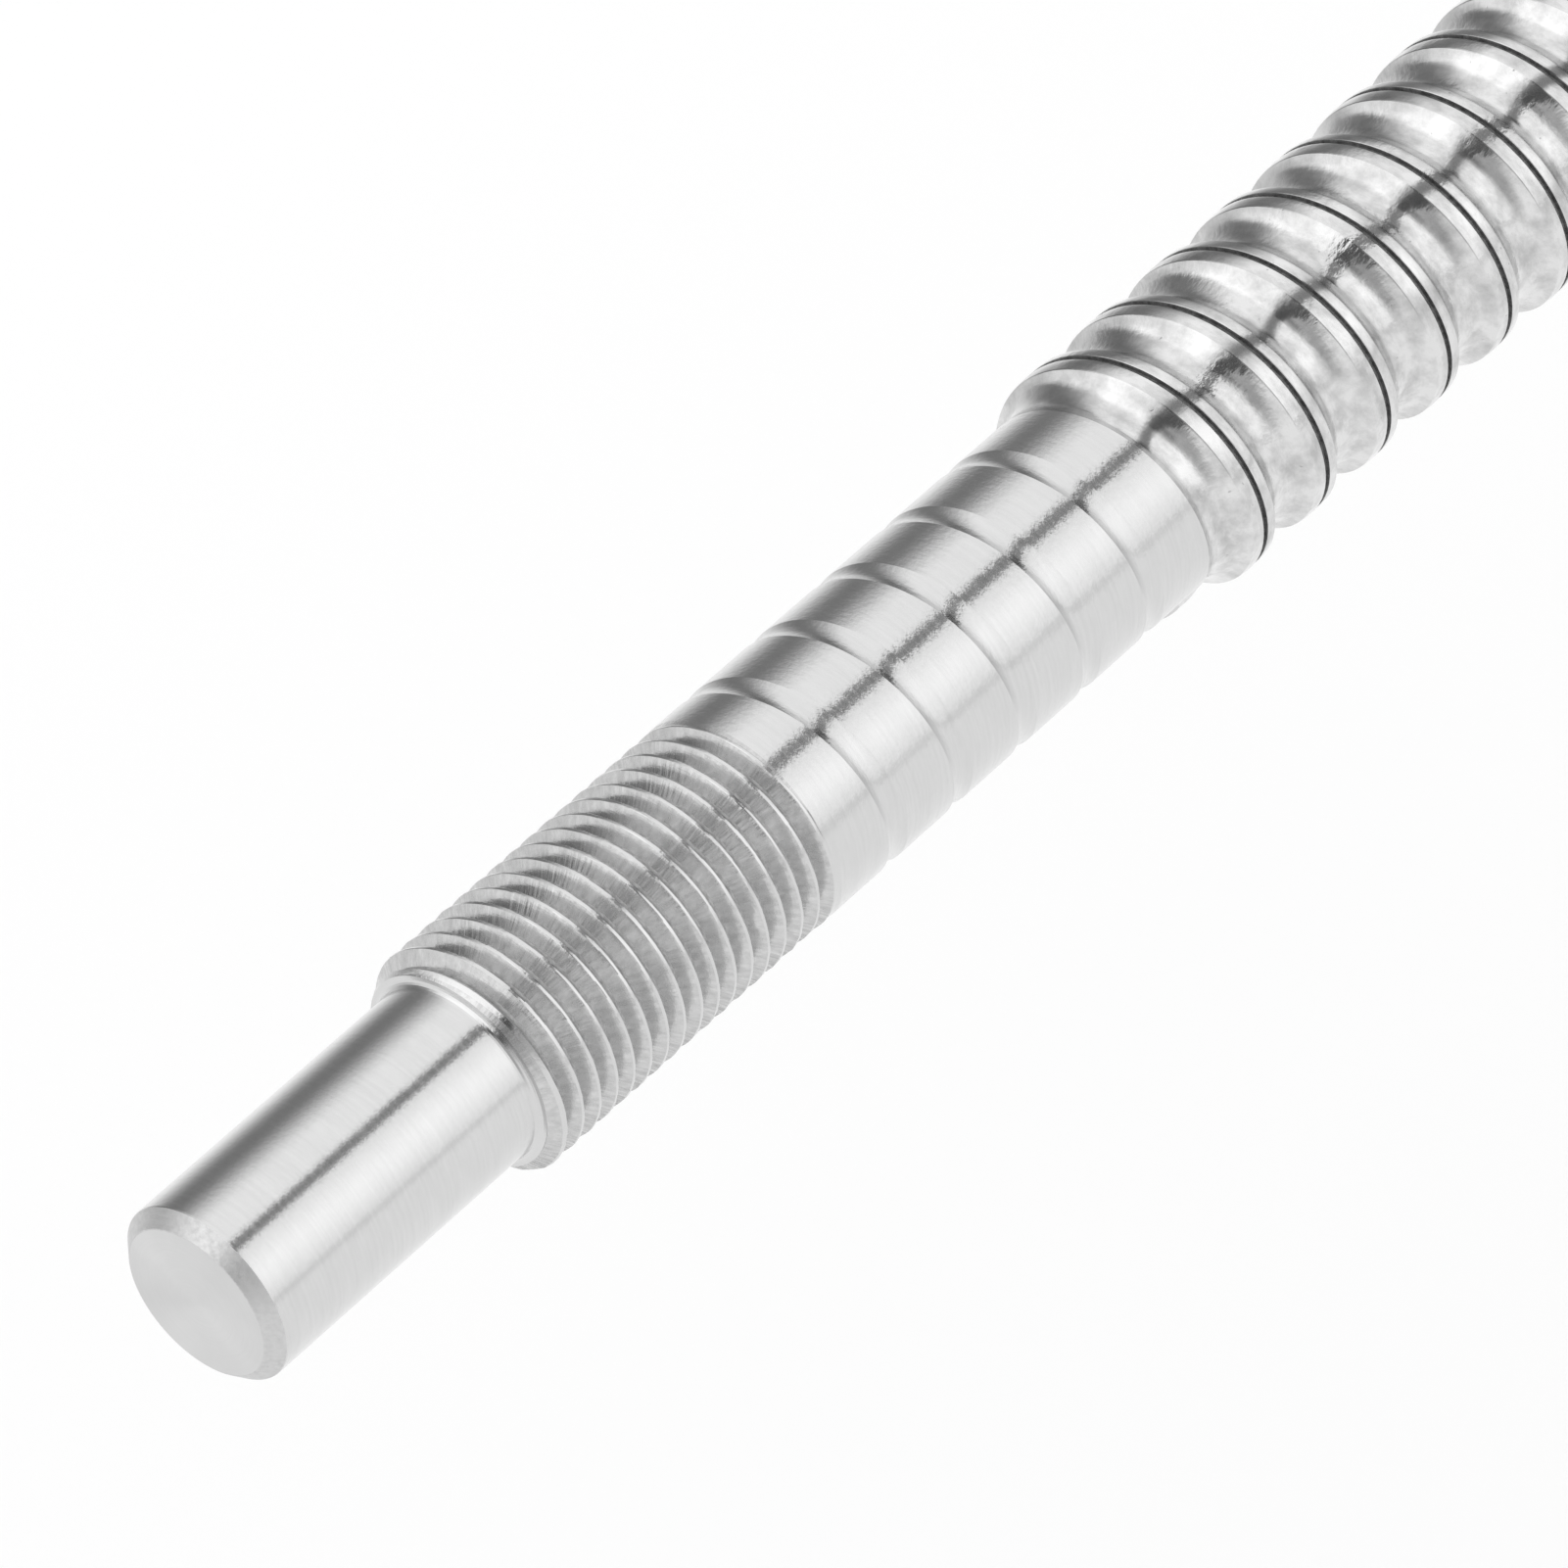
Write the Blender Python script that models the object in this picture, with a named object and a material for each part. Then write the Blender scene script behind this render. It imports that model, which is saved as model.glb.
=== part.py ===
"""Ball screw assembly: a rolled screw shaft with a machined fixed end and a flanged ball nut.

The screw axis is +X, and x = 0 is the face of the fixed end's coupling seat. Angles about the axis
are measured from +Y towards +Z. The thread is right-handed: at angle a its groove has moved on by
lead x a / one turn. Lengths are in metres.
"""

import math

import bmesh
import bpy
from mathutils import Matrix, Vector

MM = 0.001
TURN = 2 * math.pi

# Fixed end, from the face inwards
COUPLING_SEAT_D, COUPLING_SEAT_END = 8.0 * MM, 15.0 * MM
COUPLING_SEAT_CHAMFER = 0.6 * MM
LOCKNUT_THREAD_D, LOCKNUT_THREAD_PITCH, LOCKNUT_THREAD_END = 10.0 * MM, 1.0 * MM, 31.45 * MM
LOCKNUT_THREAD_DEPTH = 0.61 * MM
LOCKNUT_CREST_AT_ANGLE_0 = -0.1125 * MM  # where a crest starts at angle 0, less whole pitches
JOURNAL_D, JOURNAL_END = 10.0 * MM, 54.0 * MM

# Ball thread
LEAD = 4.0 * MM
CREST_D = 11.6 * MM
GROOVE_ROOT_R = 4.87 * MM
GROOVE_ARC_R = 1.34 * MM
GROOVE_AT_ANGLE_0 = 1.225 * MM  # x of a groove centre at angle 0, less whole leads
BALL_THREAD_END = 190.0 * MM
LAND_START_ANGLE = math.radians(215)

# Floating end
SUPPORT_SEAT_D, SHAFT_END = 8.0 * MM, 200.0 * MM
CIRCLIP_GROOVE_D, CIRCLIP_GROOVE_START, CIRCLIP_GROOVE_W = 7.6 * MM, 7.9 * MM, 0.9 * MM
END_CHAMFER = 0.5 * MM

# Balls
BALL_D = 2.381 * MM
BALL_CIRCLE_R = 6.125 * MM
CIRCUITS, BALLS_PER_CIRCUIT = 3, 15
RETURN_HALF_ANGLE = math.radians(32)
RETURN_LIFT = 1.1 * MM
RETURN_LIFT_SHARE, RETURN_SHIFT_START = 0.3, 0.2  # shares of the return path
RETURN_PATH_R = 1.42 * MM
LOADED_PATH_STEPS, RETURN_PATH_STEPS = 400, 100
RUN_IN = math.radians(16)  # how far a deflector's channel is cut into the loaded groove
FIRST_DEFLECTOR_ANGLE = math.radians(30)
DEFLECTOR_STEP = 4 / 3 * TURN  # one turn and a third, so the deflectors stand 120 degrees apart

# Nut
NUT_LENGTH, NUT_BODY_D = 35.0 * MM, 24.0 * MM
FLANGE_D, FLANGE_T, FLANGE_ACROSS_FLATS = 40.0 * MM, 10.0 * MM, 30.0 * MM
BOLT_HOLE_D, BOLT_CIRCLE_D = 4.5 * MM, 32.0 * MM
BOLT_ANGLES = [math.radians(a) for a in (-45, 0, 45, 135, 180, 225)]
NUT_BORE_R = 6.2 * MM
NUT_GROOVE_CENTRE_R, NUT_GROOVE_ARC_R = 6.10 * MM, 1.45 * MM
NUT_CHAMFER = 0.5 * MM
NUT_MIDDLE_NEAR = 130.0 * MM
CIRCUITS_FROM_MIDDLE = -3.2 * MM
DEFLECTOR_D, DEFLECTOR_INNER_R, DEFLECTOR_OUTER_R = 7.6 * MM, 6.35 * MM, 11.8 * MM
WINDOW_D = 8.0 * MM

# Seals at both ends of the nut
SEAL_SEAT_R, SEAL_SEAT_DEPTH = 8.5 * MM, 4.6 * MM
RING_GROOVE_R, RING_GROOVE_START, RING_GROOVE_W = 9.0 * MM, 0.6 * MM, 1.1 * MM
RING_INNER_R, RING_OUTER_R, RING_T = 7.7 * MM, 8.8 * MM, 0.8 * MM
WIPER_INNER_R, WIPER_OUTER_R, WIPER_T = 6.02 * MM, 8.3 * MM, 2.4 * MM
WIPER_START = 1.95 * MM

# Grease port, in the flange's upper flat
PORT_FROM_MIDDLE = 11.6 * MM
PORT_D, PORT_FLOOR_R, PASSAGE_D = 5.2 * MM, 10.0 * MM, 2.0 * MM
PLUG_D, PLUG_L, PLUG_SUNK = 4.8 * MM, 4.0 * MM, 0.3 * MM
PLUG_SOCKET_AF, PLUG_SOCKET_DEPTH = 2.5 * MM, 2.0 * MM

# How finely round shapes are divided
SHAFT_STEPS, NUT_STEPS, LATHE_STEPS, RING_STEPS = 16, 20, 40, 28
GROOVE_SEGMENTS = 4
MERGE_WITHIN = 0.0002 * MM
SHARP_ABOVE = math.radians(35)
CUT_MARGIN = 1.0 * MM


def clear_scene():
    for obj in list(bpy.data.objects):
        bpy.data.objects.remove(obj, do_unlink=True)


def material(name, colour, metallic, roughness):
    made = bpy.data.materials.new(name)
    made.use_nodes = True
    shader = made.node_tree.nodes["Principled BSDF"]
    shader.inputs["Base Color"].default_value = (*colour, 1.0)
    shader.inputs["Metallic"].default_value = metallic
    shader.inputs["Roughness"].default_value = roughness
    return made


def add_object(name, mesh, finish=None, x=0.0):
    obj = bpy.data.objects.new(name, mesh)
    obj.location.x = x
    bpy.context.collection.objects.link(obj)
    if finish and finish.name not in mesh.materials:
        mesh.materials.append(finish)
    return obj


def cutter(name, mesh, x=0.0):
    obj = add_object(name, mesh, x=x)
    obj.hide_render = True
    obj.display_type = "WIRE"
    return obj


def boolean(obj, other, operation="DIFFERENCE"):
    modifier = obj.modifiers.new(other.name, "BOOLEAN")
    modifier.operation = operation
    modifier.solver = "EXACT"
    modifier.object = other


def mesh_of(name, bm):
    """The bmesh as a clean, smooth-shaded mesh with its faces pointing out."""
    bmesh.ops.remove_doubles(bm, verts=bm.verts, dist=MERGE_WITHIN)
    bmesh.ops.recalc_face_normals(bm, faces=bm.faces)
    mesh = bpy.data.meshes.new(name)
    bm.to_mesh(mesh)
    bm.free()
    mesh.shade_smooth()
    mesh.set_sharp_from_angle(angle=SHARP_ABOVE)
    return mesh


def about_axis(x, r, angle):
    return Vector((x, r * math.cos(angle), r * math.sin(angle)))


def skin(name, column_at, steps, closed_profile=False):
    """A mesh around the X axis. column_at(angle) gives the same number of (x, r) points at each angle."""
    bm = bmesh.new()
    columns = []
    for i in range(steps + 1):
        angle = TURN * i / steps
        columns.append([bm.verts.new(about_axis(x, r, angle)) for x, r in column_at(angle)])
    rows = len(columns[0])
    for here, there in zip(columns, columns[1:]):
        for k in range(rows if closed_profile else rows - 1):
            add_quad(bm, here[k], here[(k + 1) % rows], there[(k + 1) % rows], there[k])
    return mesh_of(name, bm)


def add_quad(bm, a, b, c, d):
    """One or two triangles, without those that have collapsed."""
    for corners in ((a, b, c), (a, c, d)):
        p, q, s = (v.co for v in corners)
        if min((p - q).length, (q - s).length, (s - p).length) > MERGE_WITHIN:
            bm.faces.new(corners)


def turned(name, profile, steps=LATHE_STEPS, closed_profile=False):
    return skin(name, lambda angle: profile, steps, closed_profile)


def arc_profile(centre_r, arc_r, edge_r, outward):
    """(offset, r) points across a round groove that meets the radius edge_r at both sides."""
    half = math.acos(abs(centre_r - edge_r) / arc_r)
    sign = 1 if outward else -1
    points = []
    for i in range(GROOVE_SEGMENTS + 1):
        a = half * (2 * i / GROOVE_SEGMENTS - 1)
        points.append((arc_r * math.sin(a), centre_r + sign * arc_r * math.cos(a)))
    return points


def radius_between(corners, pitch, offset):
    """The radius at an offset along one pitch of a thread whose corners are (offset, r) points."""
    first = corners[0][0]
    offset = (offset - first) % pitch + first
    looped = corners + [(first + pitch, corners[0][1])]
    for (x0, r0), (x1, r1) in zip(looped, looped[1:]):
        if x0 <= offset <= x1:
            share = (offset - x0) / (x1 - x0) if x1 > x0 else 0.0
            return r0 + (r1 - r0) * share
    return corners[0][1]


def thread_rows(corners, pitch, at_angle_0, start, end, angle):
    """One column of a right-hand thread between two planes. Corners past a plane are held on it."""
    shift = at_angle_0 + pitch * angle / TURN
    first = math.floor((start - at_angle_0) / pitch) - 3
    last = math.ceil((end - at_angle_0) / pitch) + 2
    rows = []
    for turn in range(first, last):
        for offset, r in corners:
            x = shift + pitch * turn + offset
            if start < x < end:
                rows.append((x, r))
            else:
                x = min(max(x, start), end)
                rows.append((x, radius_between(corners, pitch, x - shift)))
    return rows


def limited(corners, pitch, most_r):
    """Thread corners with all that stands above most_r turned away."""
    looped = corners + [(corners[0][0] + pitch, corners[0][1])]
    kept = []
    for (x0, r0), (x1, r1) in zip(looped, looped[1:]):
        if r0 <= most_r:
            kept.append((x0, r0))
        if (r0 - most_r) * (r1 - most_r) < 0:
            share = (most_r - r0) / (r1 - r0)
            kept.append((x0 + (x1 - x0) * share, most_r))
    return kept


def ball_groove_corners():
    centre_r = GROOVE_ROOT_R + GROOVE_ARC_R
    return arc_profile(centre_r, GROOVE_ARC_R, CREST_D / 2, outward=False)


def locknut_thread_corners():
    """Crest flat and root of the fine thread."""
    crest_r = LOCKNUT_THREAD_D / 2
    crest_end = LOCKNUT_THREAD_PITCH / 8  # a metric thread's crest flat
    root = (LOCKNUT_THREAD_PITCH + crest_end) / 2
    return [(0.0, crest_r), (crest_end, crest_r), (root, crest_r - LOCKNUT_THREAD_DEPTH)]


def land_start(journal, angle):
    """x where the journal ends. What it leaves of a land too thin to stand is broken off."""
    angle = (angle - LAND_START_ANGLE) % TURN + LAND_START_ANGLE - TURN
    groove = GROOVE_AT_ANGLE_0 + LEAD * math.floor(JOURNAL_END / LEAD) + LEAD * angle / TURN
    groove_edge = min(x for x, _ in journal)
    return max(JOURNAL_END, groove + groove_edge)


def build_shaft(finish):
    ball_groove = ball_groove_corners()
    journal = limited(ball_groove, LEAD, JOURNAL_D / 2)
    fine = locknut_thread_corners()
    seat_r = COUPLING_SEAT_D / 2
    support_r = SUPPORT_SEAT_D / 2
    clip_x = BALL_THREAD_END + CIRCLIP_GROOVE_START
    fixed_tip = [
        (0.0, 0.0),
        (0.0, seat_r - COUPLING_SEAT_CHAMFER),
        (COUPLING_SEAT_CHAMFER, seat_r),
        (COUPLING_SEAT_END, seat_r),
    ]
    floating_tip = [
        (BALL_THREAD_END, support_r),
        (clip_x, support_r),
        (clip_x, CIRCLIP_GROOVE_D / 2),
        (clip_x + CIRCLIP_GROOVE_W, CIRCLIP_GROOVE_D / 2),
        (clip_x + CIRCLIP_GROOVE_W, support_r),
        (SHAFT_END - END_CHAMFER, support_r),
        (SHAFT_END, support_r - END_CHAMFER),
        (SHAFT_END, 0.0),
    ]

    def column(angle):
        rows = list(fixed_tip)
        journal_end = land_start(journal, angle)
        rows += thread_rows(
            fine, LOCKNUT_THREAD_PITCH, LOCKNUT_CREST_AT_ANGLE_0, COUPLING_SEAT_END, LOCKNUT_THREAD_END, angle
        )
        rows += thread_rows(
            journal, LEAD, GROOVE_AT_ANGLE_0, LOCKNUT_THREAD_END, journal_end, angle
        )
        rows += thread_rows(
            ball_groove, LEAD, GROOVE_AT_ANGLE_0, journal_end, BALL_THREAD_END, angle
        )
        return rows + floating_tip

    return add_object("screw_shaft", skin("screw_shaft", column, SHAFT_STEPS), finish)


def circuit_start(circuit):
    """(x, angle) of a deflector, where its circuit's groove line begins."""
    angle = FIRST_DEFLECTOR_ANGLE + circuit * DEFLECTOR_STEP
    on_groove = GROOVE_AT_ANGLE_0 + LEAD * angle / TURN
    first_x = GROOVE_AT_ANGLE_0 + LEAD * FIRST_DEFLECTOR_ANGLE / TURN
    whole_leads = round((first_circuit_near() - first_x) / LEAD)
    return on_groove + whole_leads * LEAD, angle


def first_circuit_near():
    spread = (CIRCUITS - 1) * LEAD * DEFLECTOR_STEP / TURN + LEAD
    return NUT_MIDDLE_NEAR + CIRCUITS_FROM_MIDDLE - spread / 2


def nut_middle():
    """The nut's middle, moved off NUT_MIDDLE_NEAR by what puts its groove over the shaft's."""
    return NUT_MIDDLE_NEAR + circuit_start(0)[0] - first_circuit_near()


def loaded_point(circuit, beyond):
    """A ball centre on the loaded helix, at an angle beyond the deflector."""
    x, angle = circuit_start(circuit)
    return about_axis(x + LEAD * beyond / TURN, BALL_CIRCLE_R, angle + beyond)


def eased(share):
    share = min(max(share, 0.0), 1.0)
    return share * share * (3 - 2 * share)


def return_point(circuit, share):
    """A ball centre in the deflector: over the crest from the end of the turn back to its start."""
    x, angle = circuit_start(circuit)
    beyond = RETURN_HALF_ANGLE * (2 * share - 1)
    lift = RETURN_LIFT * eased(min(share, 1 - share) / RETURN_LIFT_SHARE)
    shifted = eased((share - RETURN_SHIFT_START) / (1 - 2 * RETURN_SHIFT_START))
    along = x + LEAD * (1 - shifted) + LEAD * beyond / TURN
    return about_axis(along, BALL_CIRCLE_R + lift, angle + beyond)


def circuit_path(circuit):
    """Points close together around one whole circuit, starting after the deflector."""
    loaded_turn = TURN - 2 * RETURN_HALF_ANGLE
    loaded = [
        loaded_point(circuit, RETURN_HALF_ANGLE + loaded_turn * i / LOADED_PATH_STEPS)
        for i in range(LOADED_PATH_STEPS)
    ]
    back = [return_point(circuit, i / RETURN_PATH_STEPS) for i in range(RETURN_PATH_STEPS + 1)]
    return loaded + back


def ball_centres(circuit):
    """Centres spaced evenly along the circuit, with one ball at the middle of the return."""
    path = circuit_path(circuit)
    along = [0.0]
    for here, there in zip(path, path[1:]):
        along.append(along[-1] + (there - here).length)
    middle = along[-1 - RETURN_PATH_STEPS // 2]
    centres = []
    for i in range(BALLS_PER_CIRCUIT):
        wanted = (middle + along[-1] * i / BALLS_PER_CIRCUIT) % along[-1]
        nearest = min(range(len(path)), key=lambda k: abs(along[k] - wanted))
        centres.append(path[nearest])
    return centres


def return_tube(circuit):
    """The room that balls need on the return path, and a little way into the loaded groove."""
    run_in_steps, return_steps, sides = 3, 12, 8
    shares = [i / run_in_steps for i in range(run_in_steps)]
    points = [loaded_point(circuit, TURN - RETURN_HALF_ANGLE - RUN_IN * (1 - s)) for s in shares]
    points += [return_point(circuit, i / return_steps) for i in range(return_steps + 1)]
    points += [loaded_point(circuit, RETURN_HALF_ANGLE + RUN_IN * (1 - s)) for s in reversed(shares)]
    bm = bmesh.new()
    rings = []
    for i, point in enumerate(points):
        ahead = points[min(i + 1, len(points) - 1)] - points[max(i - 1, 0)]
        outward = Vector((0.0, point.y, point.z)).normalized()
        side = ahead.cross(outward).normalized()
        up = side.cross(ahead).normalized()
        ring = []
        for k in range(sides):
            a = TURN * k / sides
            ring.append(bm.verts.new(point + RETURN_PATH_R * (side * math.cos(a) + up * math.sin(a))))
        rings.append(ring)
    for here, there in zip(rings, rings[1:]):
        for k in range(sides):
            bm.faces.new((here[k], here[(k + 1) % sides], there[(k + 1) % sides], there[k]))
    bm.faces.new(rings[0])
    bm.faces.new(rings[-1])
    return cutter(f"return_path_{circuit + 1}", mesh_of("return_path", bm))


def radial_rod(name, d, r0, r1, angle, x, steps=20):
    """A solid rod that stands on the axis, from radius r0 to radius r1."""
    bm = bmesh.new()
    bmesh.ops.create_cone(
        bm, cap_ends=True, segments=steps, radius1=d / 2, radius2=d / 2, depth=r1 - r0
    )
    lift = Matrix.Translation((0.0, 0.0, (r0 + r1) / 2))
    lean = Matrix.Rotation(angle - TURN / 4, 4, "X")
    bmesh.ops.transform(bm, matrix=Matrix.Translation((x, 0.0, 0.0)) @ lean @ lift, verts=bm.verts)
    return mesh_of(name, bm)


def axial_rod(name, d, x0, x1, y=0.0, z=0.0, steps=12):
    bm = bmesh.new()
    bmesh.ops.create_cone(
        bm, cap_ends=True, segments=steps, radius1=d / 2, radius2=d / 2, depth=x1 - x0
    )
    lay = Matrix.Rotation(TURN / 4, 4, "Y")
    bmesh.ops.transform(
        bm, matrix=Matrix.Translation(((x0 + x1) / 2, y, z)) @ lay, verts=bm.verts
    )
    return mesh_of(name, bm)


def block(name, low, high):
    bm = bmesh.new()
    bmesh.ops.create_cube(bm, size=1.0)
    middle = (Vector(low) + Vector(high)) / 2
    size = Vector(high) - Vector(low)
    bmesh.ops.transform(
        bm, matrix=Matrix.Translation(middle) @ Matrix.Diagonal((*size, 1.0)), verts=bm.verts
    )
    return mesh_of(name, bm)


def nut_outline(x0, x1):
    """(x, r) of the nut's outside and its two seal seats, with the flange at the far end."""
    body_r, flange_r, c = NUT_BODY_D / 2, FLANGE_D / 2, NUT_CHAMFER
    flange_x = x1 - FLANGE_T
    core_r = NUT_BORE_R - CUT_MARGIN
    near = seal_seat(x0, 1)
    far = list(reversed(seal_seat(x1, -1)))
    return near + [(x0 + SEAL_SEAT_DEPTH, core_r), (x1 - SEAL_SEAT_DEPTH, core_r)] + far + [
        (x1, flange_r - c),
        (x1 - c, flange_r),
        (flange_x + c, flange_r),
        (flange_x, flange_r - c),
        (flange_x, body_r),
        (x0 + c, body_r),
        (x0, body_r - c),
    ]


def seal_seat(face_x, inwards):
    """(x, r) points from the nut's end face down its seal seat, with the retaining ring's groove."""
    ring_x = face_x + inwards * RING_GROOVE_START
    return [
        (face_x, SEAL_SEAT_R),
        (ring_x, SEAL_SEAT_R),
        (ring_x, RING_GROOVE_R),
        (ring_x + inwards * RING_GROOVE_W, RING_GROOVE_R),
        (ring_x + inwards * RING_GROOVE_W, SEAL_SEAT_R),
        (face_x + inwards * SEAL_SEAT_DEPTH, SEAL_SEAT_R),
    ]


def nut_thread_core(x0, x1):
    """The bore with its ball groove, as a solid to take away."""
    corners = arc_profile(NUT_GROOVE_CENTRE_R, NUT_GROOVE_ARC_R, NUT_BORE_R, outward=True)

    def column(angle):
        rows = thread_rows(corners, LEAD, GROOVE_AT_ANGLE_0, x0, x1, angle)
        return [(x0, 0.0)] + rows + [(x1, 0.0)]

    return cutter("nut_thread_core", skin("nut_thread_core", column, NUT_STEPS))


def build_nut(finish, x0, x1):
    nut = add_object("nut_body", turned("nut_body", nut_outline(x0, x1), closed_profile=True), finish)
    flat, past = FLANGE_ACROSS_FLATS / 2, FLANGE_D
    between_flats = block(
        "between_flats", (x0 - CUT_MARGIN, -past, -flat), (x1 + CUT_MARGIN, past, flat)
    )
    boolean(nut, cutter("between_flats", between_flats), "INTERSECT")
    for i, a in enumerate(BOLT_ANGLES):
        y, z = BOLT_CIRCLE_D / 2 * math.cos(a), BOLT_CIRCLE_D / 2 * math.sin(a)
        hole = axial_rod("bolt_hole", BOLT_HOLE_D, x1 - FLANGE_T - CUT_MARGIN, x1 + CUT_MARGIN, y, z)
        boolean(nut, cutter(f"bolt_hole_{i + 1}", hole))
    core_r = NUT_BORE_R - CUT_MARGIN
    port_x = (x0 + x1) / 2 + PORT_FROM_MIDDLE
    port = radial_rod("port", PORT_D, PORT_FLOOR_R, flat + CUT_MARGIN, TURN / 4, port_x)
    boolean(nut, cutter("port", port))
    passage = radial_rod(
        "passage", PASSAGE_D, core_r - CUT_MARGIN, PORT_FLOOR_R + CUT_MARGIN, TURN / 4, port_x, 10
    )
    boolean(nut, cutter("passage", passage))
    for circuit in range(CIRCUITS):
        x, angle = circuit_start(circuit)
        past_body = NUT_BODY_D / 2 + CUT_MARGIN
        window = radial_rod("window", WINDOW_D, core_r - CUT_MARGIN, past_body, angle, x + LEAD / 2)
        boolean(nut, cutter(f"window_{circuit + 1}", window))
    boolean(nut, nut_thread_core(x0 + SEAL_SEAT_DEPTH / 2, x1 - SEAL_SEAT_DEPTH / 2))
    return nut


def build_deflectors(finish, tubes):
    x1 = circuit_start(CIRCUITS - 1)[0]
    x0 = circuit_start(0)[0]
    reach = DEFLECTOR_D + LEAD
    bore = axial_rod("deflector_bore", 2 * DEFLECTOR_INNER_R, x0 - reach, x1 + reach, steps=48)
    rim = axial_rod("deflector_rim", 2 * DEFLECTOR_OUTER_R, x0 - reach, x1 + reach, steps=72)
    inner, outer = cutter("deflector_bore", bore), cutter("deflector_rim", rim)
    for circuit in range(CIRCUITS):
        x, angle = circuit_start(circuit)
        rod = radial_rod(
            "deflector", DEFLECTOR_D, NUT_BORE_R - CUT_MARGIN, DEFLECTOR_OUTER_R + CUT_MARGIN,
            angle, x + LEAD / 2,
        )
        deflector = add_object(f"deflector_{circuit + 1}", rod, finish)
        boolean(deflector, outer, "INTERSECT")
        boolean(deflector, inner)
        boolean(deflector, tubes[circuit])


def build_balls(finish):
    bm = bmesh.new()
    bmesh.ops.create_icosphere(bm, subdivisions=2, radius=BALL_D / 2)
    mesh = mesh_of("ball", bm)
    for circuit in range(CIRCUITS):
        for i, centre in enumerate(ball_centres(circuit)):
            ball = add_object(f"ball_{circuit + 1}_{i + 1:02d}", mesh, finish)
            ball.location = centre


def ring_profile(r0, r1, x0, x1):
    return [(x0, r0), (x1, r0), (x1, r1), (x0, r1)]


def build_seals(wiper_finish, ring_finish, x0, x1):
    for end, face_x, inwards in (("front", x0, 1), ("rear", x1, -1)):
        a, b = sorted((face_x + inwards * WIPER_START, face_x + inwards * (WIPER_START + WIPER_T)))
        profile = ring_profile(WIPER_INNER_R, WIPER_OUTER_R, a, b)
        add_object(f"wiper_{end}", turned("wiper", profile, RING_STEPS, True), wiper_finish)
        ring_x = RING_GROOVE_START + (RING_GROOVE_W - RING_T) / 2
        a, b = sorted((face_x + inwards * ring_x, face_x + inwards * (ring_x + RING_T)))
        profile = ring_profile(RING_INNER_R, RING_OUTER_R, a, b)
        add_object(f"retaining_ring_{end}", turned("retaining_ring", profile, RING_STEPS, True), ring_finish)


def build_grease_plug(finish, x0, x1):
    top = FLANGE_ACROSS_FLATS / 2 - PLUG_SUNK
    port_x = (x0 + x1) / 2 + PORT_FROM_MIDDLE
    plug = add_object(
        "grease_plug", radial_rod("grease_plug", PLUG_D, top - PLUG_L, top, TURN / 4, port_x), finish
    )
    socket_d = PLUG_SOCKET_AF / math.cos(TURN / 12)
    socket = radial_rod(
        "plug_socket", socket_d, top - PLUG_SOCKET_DEPTH, top + CUT_MARGIN, TURN / 4, port_x, 6
    )
    boolean(plug, cutter("plug_socket", socket))


def main():
    clear_scene()
    bpy.context.scene.unit_settings.scale_length = 1.0
    ground_steel = material("ground_steel", (0.56, 0.56, 0.56), 1.0, 0.22)
    nut_steel = material("nut_steel", (0.30, 0.30, 0.31), 1.0, 0.34)
    ball_steel = material("ball_steel", (0.70, 0.70, 0.71), 1.0, 0.08)
    spring_steel = material("spring_steel", (0.16, 0.16, 0.17), 1.0, 0.40)
    white_resin = material("white_resin", (0.80, 0.79, 0.75), 0.0, 0.45)
    dark_resin = material("dark_resin", (0.05, 0.05, 0.05), 0.0, 0.50)
    x0, x1 = nut_middle() - NUT_LENGTH / 2, nut_middle() + NUT_LENGTH / 2
    tubes = [return_tube(circuit) for circuit in range(CIRCUITS)]
    build_shaft(ground_steel)
    build_nut(nut_steel, x0, x1)
    build_deflectors(dark_resin, tubes)
    build_balls(ball_steel)
    build_seals(white_resin, spring_steel, x0, x1)
    build_grease_plug(spring_steel, x0, x1)


main()
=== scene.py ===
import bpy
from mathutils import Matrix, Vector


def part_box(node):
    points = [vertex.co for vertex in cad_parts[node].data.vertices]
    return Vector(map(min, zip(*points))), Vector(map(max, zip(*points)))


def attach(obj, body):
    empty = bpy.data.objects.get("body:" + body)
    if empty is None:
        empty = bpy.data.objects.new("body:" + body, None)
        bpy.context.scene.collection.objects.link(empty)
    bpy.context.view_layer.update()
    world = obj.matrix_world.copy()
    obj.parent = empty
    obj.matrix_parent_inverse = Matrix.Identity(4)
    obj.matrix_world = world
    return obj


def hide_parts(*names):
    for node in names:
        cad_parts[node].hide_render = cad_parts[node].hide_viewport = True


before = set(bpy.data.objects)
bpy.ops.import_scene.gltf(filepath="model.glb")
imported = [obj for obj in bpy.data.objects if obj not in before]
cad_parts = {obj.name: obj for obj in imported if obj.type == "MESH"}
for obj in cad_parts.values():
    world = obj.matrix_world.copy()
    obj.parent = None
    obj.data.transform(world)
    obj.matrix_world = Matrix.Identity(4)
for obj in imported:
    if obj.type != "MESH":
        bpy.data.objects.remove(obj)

"""The looks of the ball screw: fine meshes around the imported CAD, its materials, light and camera.

The screw axis is +X and x = 0 is the fixed end's face. Angles about the axis are measured from +Y
towards +Z. The threads are right-handed, so at angle a a groove has moved on by lead x a / one turn.
"""

import math
import random

import bmesh
import bpy
from mathutils import Matrix, Vector

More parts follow.
